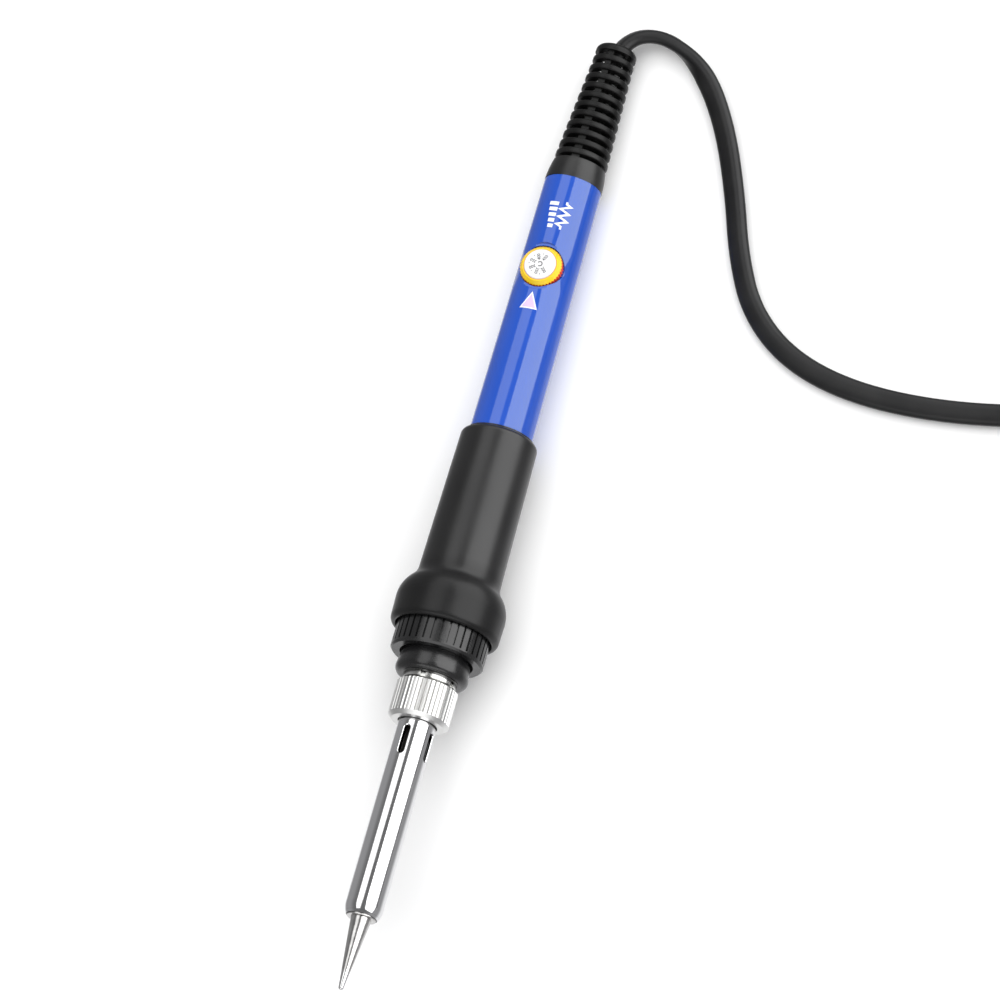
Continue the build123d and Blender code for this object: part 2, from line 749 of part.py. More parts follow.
pieces.append(strain_relief.part)

with BuildPart() as inner_cord:
    with BuildSketch(relief_section(INNER_CORD_START)):
        SlotOverall(CORD_WIDTH, CORD_THICKNESS, rotation=90)
    extrude(amount=CORD_START - INNER_CORD_START)
inner_cord.part.label = "inner_cord"
pieces.append(inner_cord.part)

with BuildPart() as cord_clamp:
    with BuildSketch(relief_section(CLAMP_START)):
        Circle(CLAMP_R)
        SlotOverall(CORD_WIDTH, CORD_THICKNESS, rotation=90, mode=Mode.SUBTRACT)
    extrude(amount=CLAMP_LENGTH)
cord_clamp.part.label = "cord_clamp"
pieces.append(cord_clamp.part)

for name, side, core_height in (("mains_wire_left", -1, 1.0), ("mains_wire_right", 1, -1.0)):
    with BuildPart() as mains_wire:
        with BuildLine() as wire_path:
            FilletPolyline(
                in_relief(INNER_CORD_START) + KNOB_WAY * core_height,
                in_relief(INNER_CORD_START - 0.9) + KNOB_WAY * core_height,
                place(side * SOLDER_X, BOARD_SPAN[1] + 1.2, BOARD_TOP + WIRE_R + FIT),
                place(side * SOLDER_X, BOARD_SPAN[1] - 2.5, BOARD_TOP + WIRE_R + FIT),
                radius=0.7,
            )
        with BuildSketch(start_of(wire_path.wire())):
            Circle(WIRE_R)
        sweep(path=wire_path.wire())
    mains_wire.part.label = name
    pieces.append(mains_wire.part)

# --- Mains lead -------------------------------------------------------------------------------

# The route's control points from the relief to the coil, along the bench.
CORD_ROUTE = [
    tuple(in_relief(CORD_START)),
    tuple(in_relief(CORD_START + 4.7)),
    (5.4, 116.9, 3.7),
    (13.0, 116.7, 3.0),
    (21.8, 109.8, 2.6),
    (28.8, 98.4, 2.5),
    (34.6, 84.0, 2.5),
    (39.2, 69.5, 2.5),
    (45.5, 57.0, 2.5),
    (57.0, 47.5, 2.5),
    (74.0, 42.5, 2.5),
    (97.0, 42.0, 2.6),
    (122.0, 45.9, 2.8),
    (146.9, 49.5, 3.05),
]
# The short stretch from the top of the coil to the plug.
LEAD_ROUTE = [
    (COIL_CENTRE[0] + 31.5, COIL_CENTRE[1], 7.95),
    (PLUG_X + 0.8, 3.0, 7.4),
    (PLUG_X, PLUG_RELIEF_START, 6.85),
]

for name, route in (("power_cord", CORD_ROUTE), ("plug_lead", LEAD_ROUTE)):
    radii = arc_radii(route)
    with BuildPart() as cord:
        with BuildLine() as cord_path:
            FilletPolyline(*route, radius=radii)
        with BuildSketch(start_of(cord_path.wire())):
            Circle(CORD_TUBE_R)
        sweep(path=cord_path.wire())
    cord.part.label = name
    pieces.append(cord.part)
    section_volume = pi * CORD_TUBE_R**2 * cord_path.wire().length
    print(name, "radii", [round(r, 1) for r in radii])
    print(name, "length", round(cord_path.wire().length, 1), "volume share",
          round(cord.part.volume / section_volume, 4))

COIL_AXIS = Axis((*COIL_CENTRE, 0), (0, 0, 1))

with BuildPart() as cord_coil:
    with BuildSketch(Plane((*COIL_CENTRE, COIL_FOOT))):
        Circle(COIL_OUTER_R)
        Circle(COIL_INNER_R, mode=Mode.SUBTRACT)
    extrude(amount=COIL_TOP - COIL_FOOT)
cord_coil.part.label = "cord_coil"
pieces.append(cord_coil.part)

with BuildPart() as cord_tie:
    tie_out = Vector(-1, 0, 0).rotate(Axis.Z, 45)
    with BuildSketch(
        Plane(origin=(*COIL_CENTRE, 0), x_dir=tie_out, z_dir=tie_out.cross(Vector(0, 0, 1)))
    ):
        Polygon(
            (COIL_INNER_R - TIE_THICKNESS, 0),
            (COIL_OUTER_R + TIE_THICKNESS, 0),
            (COIL_OUTER_R + TIE_THICKNESS, COIL_TOP + TIE_THICKNESS),
            (COIL_INNER_R - TIE_THICKNESS, COIL_TOP + TIE_THICKNESS),
            align=None,
        )
        Polygon(
            (COIL_INNER_R, COIL_FOOT),
            (COIL_OUTER_R, COIL_FOOT),
            (COIL_OUTER_R, COIL_TOP),
            (COIL_INNER_R, COIL_TOP),
            align=None,
            mode=Mode.SUBTRACT,
        )
    revolve(axis=COIL_AXIS, revolution_arc=TIE_ARC)
cord_tie.part.label = "cord_tie"
pieces.append(cord_tie.part)

# --- Plug -------------------------------------------------------------------------------------

PLUG_HEIGHT = PLUG_FACE_HEIGHT / 2
PLUG_BODY_START = PLUG_RELIEF_START - PLUG_RELIEF_LENGTH
PLUG_FACE = PLUG_BODY_START - PLUG_TAPER_LENGTH - PLUG_FACE_LENGTH


def plug_section(y):
    """The plane across the plug, which faces the way its pins point."""
    return Plane(origin=(PLUG_X, y, PLUG_HEIGHT), x_dir=(1, 0, 0), z_dir=(0, -1, 0))


with BuildPart() as plug_body:
    with BuildSketch(plug_section(PLUG_BODY_START)):
        RectangleRounded(PLUG_NECK[0], PLUG_NECK[1], PLUG_NECK_CORNER)
    with BuildSketch(plug_section(PLUG_BODY_START - PLUG_TAPER_LENGTH)):
        RectangleRounded(PLUG_FACE_WIDTH, PLUG_FACE_HEIGHT, PLUG_FACE_CORNER)
    loft()
    with BuildSketch(plug_section(PLUG_BODY_START - PLUG_TAPER_LENGTH)):
        RectangleRounded(PLUG_FACE_WIDTH, PLUG_FACE_HEIGHT, PLUG_FACE_CORNER)
    extrude(amount=PLUG_FACE_LENGTH)
    with BuildSketch(plug_section(PLUG_FACE)):
        with GridLocations(PIN_SPACING, 1, 2, 1):
            Circle(PIN_SLEEVE_R)
    extrude(amount=-PIN_ROOT, mode=Mode.SUBTRACT)
plug_body.part.label = "plug_body"
pieces.append(plug_body.part)

with BuildPart() as plug_relief:
    with BuildSketch(plug_section(PLUG_RELIEF_START)):
        Circle(PLUG_RELIEF_R[0])
    with BuildSketch(plug_section(PLUG_BODY_START)):
        Circle(PLUG_RELIEF_R[1])
    loft()
    for rib in range(PLUG_RIBS):
        with BuildSketch(plug_section(PLUG_RELIEF_START - PLUG_RIB_STEP * (rib + 1))):
            Circle(3.9 + 0.32 * rib)
        extrude(amount=PLUG_RIB_LENGTH)
plug_relief.part.label = "plug_relief"
pieces.append(plug_relief.part)

for name, side in (("left", -1), ("right", 1)):
    pin_x = side * PIN_SPACING / 2
    with BuildPart() as pin_sleeve:
        with BuildSketch(plug_section(PLUG_FACE + PIN_ROOT)):
            with Locations((pin_x, 0)):
                Circle(PIN_SLEEVE_R)
        with BuildSketch(plug_section(PLUG_FACE - PIN_SLEEVE_LENGTH)):
            with Locations((pin_x, 0)):
                Circle(PIN_SLEEVE_END_R)
        loft()
        with BuildSketch(plug_section(PLUG_FACE + PIN_ROOT)):
            with Locations((pin_x, 0)):
                Circle(PIN_CORE_R)
        extrude(amount=PIN_ROOT + PIN_SLEEVE_LENGTH, mode=Mode.SUBTRACT)
    pin_sleeve.part.label = f"pin_sleeve_{name}"
    pieces.append(pin_sleeve.part)

    with BuildPart() as plug_pin:
        with BuildSketch(plug_section(PLUG_FACE + PIN_ROOT)):
            with Locations((pin_x, 0)):
                Circle(PIN_CORE_R)
        extrude(amount=PIN_ROOT + PIN_SLEEVE_LENGTH)
        with BuildSketch(plug_section(PLUG_FACE - PIN_SLEEVE_LENGTH)):
            with Locations((pin_x, 0)):
                Circle(PIN_R)
        extrude(amount=PIN_LENGTH - PIN_SLEEVE_LENGTH)
        fillet(plug_pin.faces().sort_by(Axis.Y)[0].edges(), radius=PIN_ROUND)
    plug_pin.part.label = f"plug_pin_{name}"
    pieces.append(plug_pin.part)

# --- Export -----------------------------------------------------------------------------------

os.makedirs("parts", exist_ok=True)
for piece in pieces:
    export_step(piece, f"parts/{piece.label}.step")
print(len(pieces), "pieces; slope", round(degrees(SLOPE), 3), "degrees")
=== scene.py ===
import json
from math import cos, pi, radians, sin

import bmesh
import bpy
from mathutils import Matrix, Vector


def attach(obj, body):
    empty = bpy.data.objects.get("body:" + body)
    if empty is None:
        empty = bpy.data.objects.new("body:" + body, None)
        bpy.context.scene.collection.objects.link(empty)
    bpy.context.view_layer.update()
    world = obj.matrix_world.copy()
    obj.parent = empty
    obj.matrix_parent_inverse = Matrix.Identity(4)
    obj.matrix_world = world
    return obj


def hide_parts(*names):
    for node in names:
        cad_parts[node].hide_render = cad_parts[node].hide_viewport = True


# The looks of a temperature-controlled soldering iron with its mains lead. Metres, in the CAD's
# frame: the bench is z = 0, the tip points to -Y and the knob faces up. The iron's own lengths
# are in millimetres from the tip along its axis, called "from tip".

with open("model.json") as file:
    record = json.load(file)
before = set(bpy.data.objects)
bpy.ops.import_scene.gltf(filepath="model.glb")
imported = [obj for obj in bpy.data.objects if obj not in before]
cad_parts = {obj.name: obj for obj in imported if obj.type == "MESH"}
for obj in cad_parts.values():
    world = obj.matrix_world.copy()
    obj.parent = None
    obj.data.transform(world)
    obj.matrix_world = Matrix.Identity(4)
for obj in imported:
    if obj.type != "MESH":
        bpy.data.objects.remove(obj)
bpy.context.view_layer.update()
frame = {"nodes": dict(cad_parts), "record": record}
nodes = frame["nodes"]

MM = 0.001
SLOPE = radians(3.2347)
ALONG = Vector((0, cos(SLOPE), -sin(SLOPE)))
KNOB_WAY = Vector((0, sin(SLOPE), cos(SLOPE)))
RIGHT = Vector((1, 0, 0))
TIP_POINT = Vector((0, -0.1117907, 0.0170919))

KNOB_AT = 167.8
DIAL_TOP = 7.3
TUBE_COLLAR_END = 86.0
TUBE_FRONT_R = 7.41
TUBE_END = 189.84
TUBE_END_R = 6.39
RELIEF_LEAN = radians(1.9)


def place(x, from_tip, height=0.0):
    """A point of the iron, from millimetres."""
    return TIP_POINT + (RIGHT * x + ALONG * from_tip + KNOB_WAY * height) * MM


def in_relief(from_tip):
    """A point on the leaning axis of the strain relief."""
    way = ALONG * cos(RELIEF_LEAN) + RIGHT * sin(RELIEF_LEAN)
    return place(0, TUBE_END) + way * (from_tip - TUBE_END) * MM


def tube_outside(from_tip):
    """The radius of the handle tube's outside, in millimetres."""
    share = (from_tip - TUBE_COLLAR_END) / (TUBE_END - TUBE_COLLAR_END)
    return TUBE_FRONT_R + share * (TUBE_END_R - TUBE_FRONT_R)


def new_object(name, data):
    made = bpy.data.objects.new(name, data)
    bpy.context.scene.collection.objects.link(made)
    return made


def solid(name, mesh):
    """An object of a closed mesh, with its faces turned outwards."""
    bmesh.ops.recalc_face_normals(mesh, faces=mesh.faces)
    data = bpy.data.meshes.new(name)
    mesh.to_mesh(data)
    mesh.free()
    return new_object(name, data)


def skin(mesh, rings, smooth):
    """Faces between rings of vertices that follow each other."""
    for first, second in zip(rings, rings[1:]):
        for j in range(len(first)):
            k = (j + 1) % len(first)
            quad = mesh.faces.new((first[j], first[k], second[k], second[j]))
            quad.smooth = smooth


# --- Camera -----------------------------------------------------------------------------------

# The way to the camera is given right of the iron, along it and up, and the offset of the
# picture's middle in millimetres right and up in the view.
AIM_FROM_TIP = 110.2566
CAMERA_DISTANCE = 1.935
LENS = 324
LEAN_IN_VIEW = radians(16.17)
AIM_OFFSET = (4.86, 3.72)
CAMERA_WAY = (0.2986, -0.339, 0.8923)
SENSOR_WIDTH = 36
NEAR_CLIP = 0.05
FAR_CLIP = 20

to_camera = RIGHT * CAMERA_WAY[0] + ALONG * CAMERA_WAY[1] + KNOB_WAY * CAMERA_WAY[2]
to_camera.normalize()
along_in_view = (ALONG - to_camera * ALONG.dot(to_camera)).normalized()
across_in_view = along_in_view.cross(to_camera)
view_up = along_in_view * cos(LEAN_IN_VIEW) - across_in_view * sin(LEAN_IN_VIEW)
view_right = across_in_view * cos(LEAN_IN_VIEW) + along_in_view * sin(LEAN_IN_VIEW)
camera_at = place(0, AIM_FROM_TIP) + to_camera * CAMERA_DISTANCE
target = place(0, AIM_FROM_TIP) + (view_right * AIM_OFFSET[0] + view_up * AIM_OFFSET[1]) * MM
forward = (target - camera_at).normalized()
view_right = (view_right - forward * view_right.dot(forward)).normalized()
view_up = view_right.cross(forward)

camera = new_object("camera", bpy.data.cameras.new("camera"))
camera.data.lens = LENS
camera.data.sensor_width = SENSOR_WIDTH
camera.data.clip_start = NEAR_CLIP
camera.data.clip_end = FAR_CLIP
camera.matrix_world = Matrix.Translation(camera_at) @ Matrix(
    (view_right, view_up, -forward)
).transposed().to_4x4()
bpy.context.scene.camera = camera

# --- Mains lead -------------------------------------------------------------------------------

# A flat twin cord, 4.9 by 3.0 mm: from the strain relief along the bench, through the coil of its
# spare length, to the plug. It leaves the relief leaning over, lies nearly flat on the bench and
# stands on edge in the coil.
CORD_ROUTE = [
    tuple(in_relief(219.5)),
    tuple(in_relief(224.2)),
    (0.0056, 0.1166, 0.0037),
    (0.0132, 0.1162, 0.0030),
    (0.0218, 0.1096, 0.0026),
    (0.0288, 0.0984, 0.0022),
    (0.0346, 0.0840, 0.0019),
    (0.0392, 0.0695, 0.0019),
    (0.0455, 0.0570, 0.0019),
    (0.0570, 0.0475, 0.0019),
    (0.0740, 0.0425, 0.0019),
    (0.0970, 0.0420, 0.0021),
    (0.1220, 0.0459, 0.0026),
    (0.1469, 0.0495, 0.00305),
]
LEAD_ROUTE = [
    (0.1843, 0.0030, 0.0074),
    (0.1835, -0.0120, 0.00685),
]
COIL_CENTRE = (0.152, 0.0175)
COIL_FIRST_ANGLE = 99
COIL_POINTS_PER_TURN = 16
# The curve runs a little inside its control points, so those are set further out.
COIL_PULL = 1.02
COIL_LAYER_HEIGHTS = (0.00305, 0.00795)
COIL_OUTSIDE = 0.0324
COIL_PITCH = 0.0032
LOWER_TURNS = 3.5
RISING_TURNS = 0.5
UPPER_TURNS = 3.275
CORD_WIDTH = 0.0049
CORD_THICKNESS = 0.0030
SECTION_STEPS = 7
LINE_STEPS = 8
# How far the cord leans from standing on edge, in degrees, by metres along it.
TWIST = ((0.0, -42), (0.005, -42), (0.016, -18), (0.032, 60), (0.150, 72), (0.190, 0))


def coil_route():
    """The spline's points in the coil: inwards on the bench, up, and outwards again on top."""
    low, high = COIL_LAYER_HEIGHTS
    inside = COIL_OUTSIDE - COIL_PITCH * LOWER_TURNS
    turns = LOWER_TURNS + RISING_TURNS + UPPER_TURNS
    points = []
    for step in range(1, round(turns * COIL_POINTS_PER_TURN) + 1):
        turn = step / COIL_POINTS_PER_TURN
        rise = min(max((turn - LOWER_TURNS) / RISING_TURNS, 0), 1)
        radius = COIL_OUTSIDE - COIL_PITCH * min(turn, LOWER_TURNS)
        radius += COIL_PITCH * max(turn - LOWER_TURNS - RISING_TURNS, 0)
        radius = max(radius, inside) * COIL_PULL
        angle = radians(COIL_FIRST_ANGLE) - 2 * pi * turn
        points.append(
            (
                COIL_CENTRE[0] + radius * cos(angle),
                COIL_CENTRE[1] + radius * sin(angle),
                low + (high - low) * rise * rise * (3 - 2 * rise),
            )
        )
    return points


def spline_points(route, resolution):
    """The points of the smooth line that has the route as its control points."""
    line = bpy.data.curves.new("line", "CURVE")
    line.dimensions = "3D"
    line.resolution_u = resolution
    spline = line.splines.new("NURBS")
    spline.points.add(len(route) - 1)
    for point, at in zip(spline.points, route):
        point.co = (*at, 1)
    spline.order_u = 3
    spline.use_endpoint_u = True
    holder = new_object("line", line)
    mesh = bpy.data.meshes.new_from_object(holder)
    points = [v.co.copy() for v in mesh.vertices]
    bpy.data.objects.remove(holder)
    bpy.data.meshes.remove(mesh)
    return points


def between(table, at):
    """The value of a table of (place, value) rows at a place, with eased steps between rows."""
    if at <= table[0][0]:
        return table[0][1]
    for (start, low), (end, high) in zip(table, table[1:]):
        if at <= end:
            share = (at - start) / (end - start)
            return low + (high - low) * share * share * (3 - 2 * share)
    return table[-1][1]


def flat_section(width, thickness, steps):
    """The outline of a flat cord: x across its thickness and y along its width."""
    radius = thickness / 2
    middle = width / 2 - radius
    outline = []
    for end in (1, -1):
        for step in range(steps + 1):
            angle = pi * step / steps + (0 if end > 0 else pi)
            outline.append((radius * cos(angle), end * middle + radius * sin(angle)))
    return outline


def swept(name, points, outline, twist):
    """A closed sweep of the outline along points, turned about them by a table of degrees."""
    mesh = bmesh.new()
    uv = mesh.loops.layers.uv.new("UVMap")
    rings, runs, run = [], [], 0.0
    for i, at in enumerate(points):
        before, after = points[max(i - 1, 0)], points[min(i + 1, len(points) - 1)]
        way = (after - before).normalized()
        up = (Vector((0, 0, 1)) - way * way.z).normalized()
        side = way.cross(up)
        angle = radians(between(twist, run))
        face = side * cos(angle) + up * sin(angle)
        edge = up * cos(angle) - side * sin(angle)
        rings.append([mesh.verts.new(at + face * x + edge * y) for x, y in outline])
        runs.append(run)
        if i + 1 < len(points):
            run += (points[i + 1] - at).length
    count = len(outline)
    for i in range(len(rings) - 1):
        for j in range(count):
            k = (j + 1) % count
            near, far = rings[i], rings[i + 1]
            quad = mesh.faces.new((near[j], near[k], far[k], far[j]))
            corners = ((runs[i], j), (runs[i], j + 1), (runs[i + 1], j + 1), (runs[i + 1], j))
            for loop, (place_along, place_round) in zip(quad.loops, corners):
                loop[uv].uv = (place_along / MM, place_round / count)
            quad.smooth = True
    mesh.faces.new(rings[0])
    mesh.faces.new(reversed(rings[-1]))
    return solid(name, mesh)


cord_line = spline_points(CORD_ROUTE + coil_route() + LEAD_ROUTE, LINE_STEPS)
cord_section = flat_section(CORD_WIDTH, CORD_THICKNESS, SECTION_STEPS)
cord = swept("mains_cord", cord_line, cord_section, TWIST)
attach(cord, "handle")
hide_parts("power_cord", "cord_coil", "plug_lead")

# --- Tie round the coil -----------------------------------------------------------------------

# The strip's two sides are given by their distance from the coil's centre.
TIE_ANGLE = 225
TIE_WIDTH = 0.0085
TIE_INSIDE = 0.0189
TIE_OUTSIDE = 0.0326
TIE_HEIGHT = 0.0113
TIE_CORNER = 0.0024
TIE_THICKNESS = 0.0007
TIE_CORNER_STEPS = 8
LAP_SHARE = 0.34
STRAP_ROUNDING = 0.4
STRAP_BEVEL = 0.35


def rounded_loop(left, right, bottom, top, corner, steps):
    """Points round an upright rectangle with round corners, from the middle of its top."""
    loop = [((left + right) / 2, top)]
    corners = ((right, top, 90), (right, bottom, 0), (left, bottom, -90), (left, top, -180))
    for x, z, start in corners:
        middle_x = x - corner if x == right else x + corner
        middle_z = z - corner if z == top else z + corner
        for step in range(steps + 1):
            angle = radians(start - 90 * step / steps)
            loop.append((middle_x + corner * cos(angle), middle_z + corner * sin(angle)))
    return loop


def strap(name, loop, width, thickness, across, origin, closed):
    """A flat strap of rounded section that follows a loop of (out, up) points."""
    out_way = Vector((cos(across), sin(across), 0))
    side_way = Vector((-sin(across), cos(across), 0))
    mesh = bmesh.new()
    rounding = thickness * STRAP_ROUNDING
    bevel = ((1, STRAP_BEVEL), (STRAP_BEVEL, 1))
    section = []
    for x, y in ((1, 1), (-1, 1), (-1, -1), (1, -1)):
        for u, v in bevel if x * y > 0 else bevel[::-1]:
            section.append((x * (width / 2 - rounding * (1 - u)), y * (thickness / 2) * v))
    rings = []
    count = len(loop)
    for i, (out, up) in enumerate(loop):
        before = loop[(i - 1) % count] if closed else loop[max(i - 1, 0)]
        after = loop[(i + 1) % count] if closed else loop[min(i + 1, count - 1)]
        way = Vector((after[0] - before[0], after[1] - before[1])).normalized()
        normal = Vector((-way.y, way.x))
        ring = []
        for x, y in section:
            at = Vector((out, up)) + normal * y
            corner = origin + out_way * at.x + side_way * x + Vector((0, 0, at.y))
            ring.append(mesh.verts.new(corner))
        rings.append(ring)
    skin(mesh, rings + rings[:1] if closed else rings, smooth=True)
    if not closed:
        mesh.faces.new(rings[0])
        mesh.faces.new(reversed(rings[-1]))
    return solid(name, mesh)


coil_at = Vector((*COIL_CENTRE, 0))
tie_loop = rounded_loop(
    TIE_INSIDE, TIE_OUTSIDE, TIE_THICKNESS / 2, TIE_HEIGHT, TIE_CORNER, TIE_CORNER_STEPS
)
tie = strap("tie_strap", tie_loop, TIE_WIDTH, TIE_THICKNESS, radians(TIE_ANGLE), coil_at, True)
lap_loop = rounded_loop(
    TIE_INSIDE,
    TIE_OUTSIDE + TIE_THICKNESS,
    TIE_THICKNESS / 2,
    TIE_HEIGHT + TIE_THICKNESS,
    TIE_CORNER + TIE_THICKNESS,
    TIE_CORNER_STEPS,
)
lap_loop = lap_loop[: round(len(lap_loop) * LAP_SHARE)]
lap = strap("tie_lap", lap_loop, TIE_WIDTH, TIE_THICKNESS, radians(TIE_ANGLE), coil_at, False)
for piece in (tie, lap):
    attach(piece, "handle")
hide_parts("cord_tie")

# --- Plug -------------------------------------------------------------------------------------

PLUG_X = 0.1835
PLUG_HEIGHT = 0.00685
PLUG_NECK_Y = -0.040
PLUG_SHOULDER_Y = -0.064
PLUG_FACE_Y = -0.073
# Sections of the plug: width, height and corner radius.
PLUG_NECK = (0.0140, 0.0115, 0.0050)
PLUG_FACE = (0.0353, 0.0137, 0.0060)
PLUG_STEPS = 96
PLUG_FLANK_SHARES = (0.2, 0.4, 0.6, 0.8, 0.9)
PLUG_CORNER_STEPS = 10
PLUG_LEAST_FLAT = 0.0001
PLUG_EASE = 0.65
PLUG_EDGE = 0.0009
PLUG_EDGE_STEPS = 5
NECK_EDGE = 0.6
NECK_EDGE_SHARE = 1 / 24
# The shallow ribs on the waist, by their share of the way from its neck to its shoulder.
GRIP_RIBS = 7
GRIP_DEPTH = 0.00045
GRIP_START = 0.16
GRIP_END = 0.90
GRIP_FADE = 0.06


def rounded_outline(width, height, corner, steps):
    """Points round a rectangle with round corners."""
    outline = []
    for sign_x, sign_y, start in ((1, 1, 0), (-1, 1, 90), (-1, -1, 180), (1, -1, 270)):
        for step in range(steps + 1):
            angle = radians(start + 90 * step / steps)
            outline.append(
                (
                    sign_x * (width / 2 - corner) + corner * cos(angle),
                    sign_y * (height / 2 - corner) + corner * sin(angle),
                )
            )
    return outline


def plug_rings():
    """Rows of (y, width, height, corner) along the plug, with grip ribs on its waist."""
    rows = []
    length = PLUG_NECK_Y - PLUG_SHOULDER_Y
    for step in range(PLUG_STEPS + 1):
        share = step / PLUG_STEPS
        ease = share * share * (3 - 2 * share)
        swell = (1 - PLUG_EASE) * share + PLUG_EASE * ease
        width, height, corner = (a + (b - a) * swell for a, b in zip(PLUG_NECK, PLUG_FACE))
        ribbed = min(max((share - GRIP_START) / GRIP_FADE, 0), 1)
        ribbed *= min(max((GRIP_END - share) / GRIP_FADE, 0), 1)
        phase = 2 * pi * GRIP_RIBS * (share - GRIP_START) / (GRIP_END - GRIP_START)
        groove = GRIP_DEPTH * ribbed * (0.5 - 0.5 * cos(phase)) ** 2
        edge = PLUG_EDGE * NECK_EDGE * max(0.0, 1 - share / NECK_EDGE_SHARE) ** 2
        shrink = 2 * (groove + edge)
        rows.append((PLUG_NECK_Y - length * share, width - shrink, height - shrink, corner))
    for share in PLUG_FLANK_SHARES:
        y = PLUG_SHOULDER_Y + (PLUG_FACE_Y - PLUG_SHOULDER_Y) * share
        rows.append((y, *PLUG_FACE))
    for step in range(1, PLUG_EDGE_STEPS + 1):
        angle = pi / 2 * step / PLUG_EDGE_STEPS
        y = PLUG_FACE_Y + PLUG_EDGE * (1 - sin(angle))
        shrink = 2 * PLUG_EDGE * (1 - cos(angle))
        rows.append((y, PLUG_FACE[0] - shrink, PLUG_FACE[1] - shrink, PLUG_FACE[2]))
    return rows


def plug_shell(name):
    """The plug's moulded body."""
    mesh = bmesh.new()
    rings = []
    for y, width, height, corner in plug_rings():
        corner = min(corner, height / 2 - PLUG_LEAST_FLAT)
        outline = rounded_outline(width, height, corner, PLUG_CORNER_STEPS)
        rings.append([mesh.verts.new((PLUG_X + x, y, PLUG_HEIGHT + z)) for x, z in outline])
    skin(mesh, rings, smooth=True)
    mesh.faces.new(rings[0])
    mesh.faces.new(reversed(rings[-1]))
    return solid(name, mesh)


plug = plug_shell("plug_shell")
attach(plug, "handle")
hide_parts("plug_body")

# --- Prints -----------------------------------------------------------------------------------

# In millimetres. The ink reaches a little into the tube, so that no gap shows.
INK_THICKNESS = 0.03
INK_DEPTH = 0.02
INK_STEP = 0.35
INK_DIVISIONS = 4
SHARPEST_MITRE = 0.3


def printed(name, outlines, lift):
    """Flat ink shapes on the handle tube. An outline has (arc from the knob's line, from tip)."""
    mesh = bmesh.new()
    for outline in outlines:
        mesh.faces.new([mesh.verts.new((arc, from_tip, 0)) for arc, from_tip in outline])
    bmesh.ops.triangulate(mesh, faces=mesh.faces)
    for _ in range(INK_DIVISIONS):
        long_edges = [e for e in mesh.edges if e.calc_length() > INK_STEP]
        if not long_edges:
            break
        bmesh.ops.subdivide_edges(mesh, edges=long_edges, cuts=1)
        bmesh.ops.triangulate(mesh, faces=mesh.faces)
    shape = bmesh.ops.extrude_face_region(mesh, geom=list(mesh.faces))
    raised = {v for v in shape["geom"] if isinstance(v, bmesh.types.BMVert)}
    for vertex in mesh.verts:
        arc, from_tip, _ = vertex.co
        height = lift + (INK_THICKNESS if vertex in raised else -INK_DEPTH)
        radius = tube_outside(from_tip) + height
        angle = arc / tube_outside(from_tip)
        vertex.co = place(radius * sin(angle), from_tip, radius * cos(angle))
    return solid(name, mesh)


def ribbon(points, width):
    """The outline of a line of a given width with mitred corners."""
    sides = ([], [])
    for i, (x, y) in enumerate(points):
        ways = []
        if i > 0:
            ways.append(Vector((x - points[i - 1][0], y - points[i - 1][1])).normalized())
        if i + 1 < len(points):
            ways.append(Vector((points[i + 1][0] - x, points[i + 1][1] - y)).normalized())
        middle = sum(ways, Vector((0, 0))).normalized()
        normal = Vector((-middle.y, middle.x))
        mitre = max(normal.dot(Vector((-ways[0].y, ways[0].x))), SHARPEST_MITRE)
        reach = width / 2 / mitre
        sides[0].append((x + normal.x * reach, y + normal.y * reach))
        sides[1].append((x - normal.x * reach, y - normal.y * reach))
    return sides[0] + sides[1][::-1]


POINTER_BASE_AT = 157.35
POINTER_TIP_AT = 161.4
POINTER_HALF_WIDTH = 2.0
POINTER_BASE_INSET = 0.28
POINTER_SIDE_INSET = 1.6 * POINTER_BASE_INSET
POINTER_TIP_INSET = 2.2 * POINTER_BASE_INSET
POINTER_LIFT = 0.02
HEAT_BARS = ((177.0, 1.2), (178.35, 1.42), (179.7, 1.65), (181.05, 1.88), (182.4, 2.1))
HEAT_BAR_LENGTH = 0.85
HEAT_BAR_FOOT = 0.1
ELEMENT_POINTS = (
    (1.85, 176.9),
    (1.85, 177.6),
    (0.8, 178.05),
    (2.9, 178.95),
    (0.8, 179.85),
    (2.9, 180.75),
    (0.8, 181.65),
    (2.9, 182.55),
    (1.85, 183.0),
    (1.85, 183.5),
)
ELEMENT_LINE = 0.46


def triangle(half_width, base_at, tip_at):
    return (-half_width, base_at), (half_width, base_at), (0, tip_at)


pointer_rim_outline = triangle(POINTER_HALF_WIDTH, POINTER_BASE_AT, POINTER_TIP_AT)
pointer_rim = printed("pointer_rim", [pointer_rim_outline], 0.0)
pointer_outline = triangle(
    POINTER_HALF_WIDTH - POINTER_SIDE_INSET,
    POINTER_BASE_AT + POINTER_BASE_INSET,
    POINTER_TIP_AT - POINTER_TIP_INSET,
)
pointer = printed("pointer", [pointer_outline], POINTER_LIFT)
heat_bars = [
    (
        (HEAT_BAR_FOOT - height, start),
        (HEAT_BAR_FOOT, start),
        (HEAT_BAR_FOOT, start + HEAT_BAR_LENGTH),
        (HEAT_BAR_FOOT - height, start + HEAT_BAR_LENGTH),
    )
    for start, height in HEAT_BARS
]
heat_mark = printed("heat_mark", heat_bars + [ribbon(ELEMENT_POINTS, ELEMENT_LINE)], 0.0)
for piece in (pointer_rim, pointer, heat_mark):
    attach(piece, "handle")

# --- Numbers on the dial ----------------------------------------------------------------------

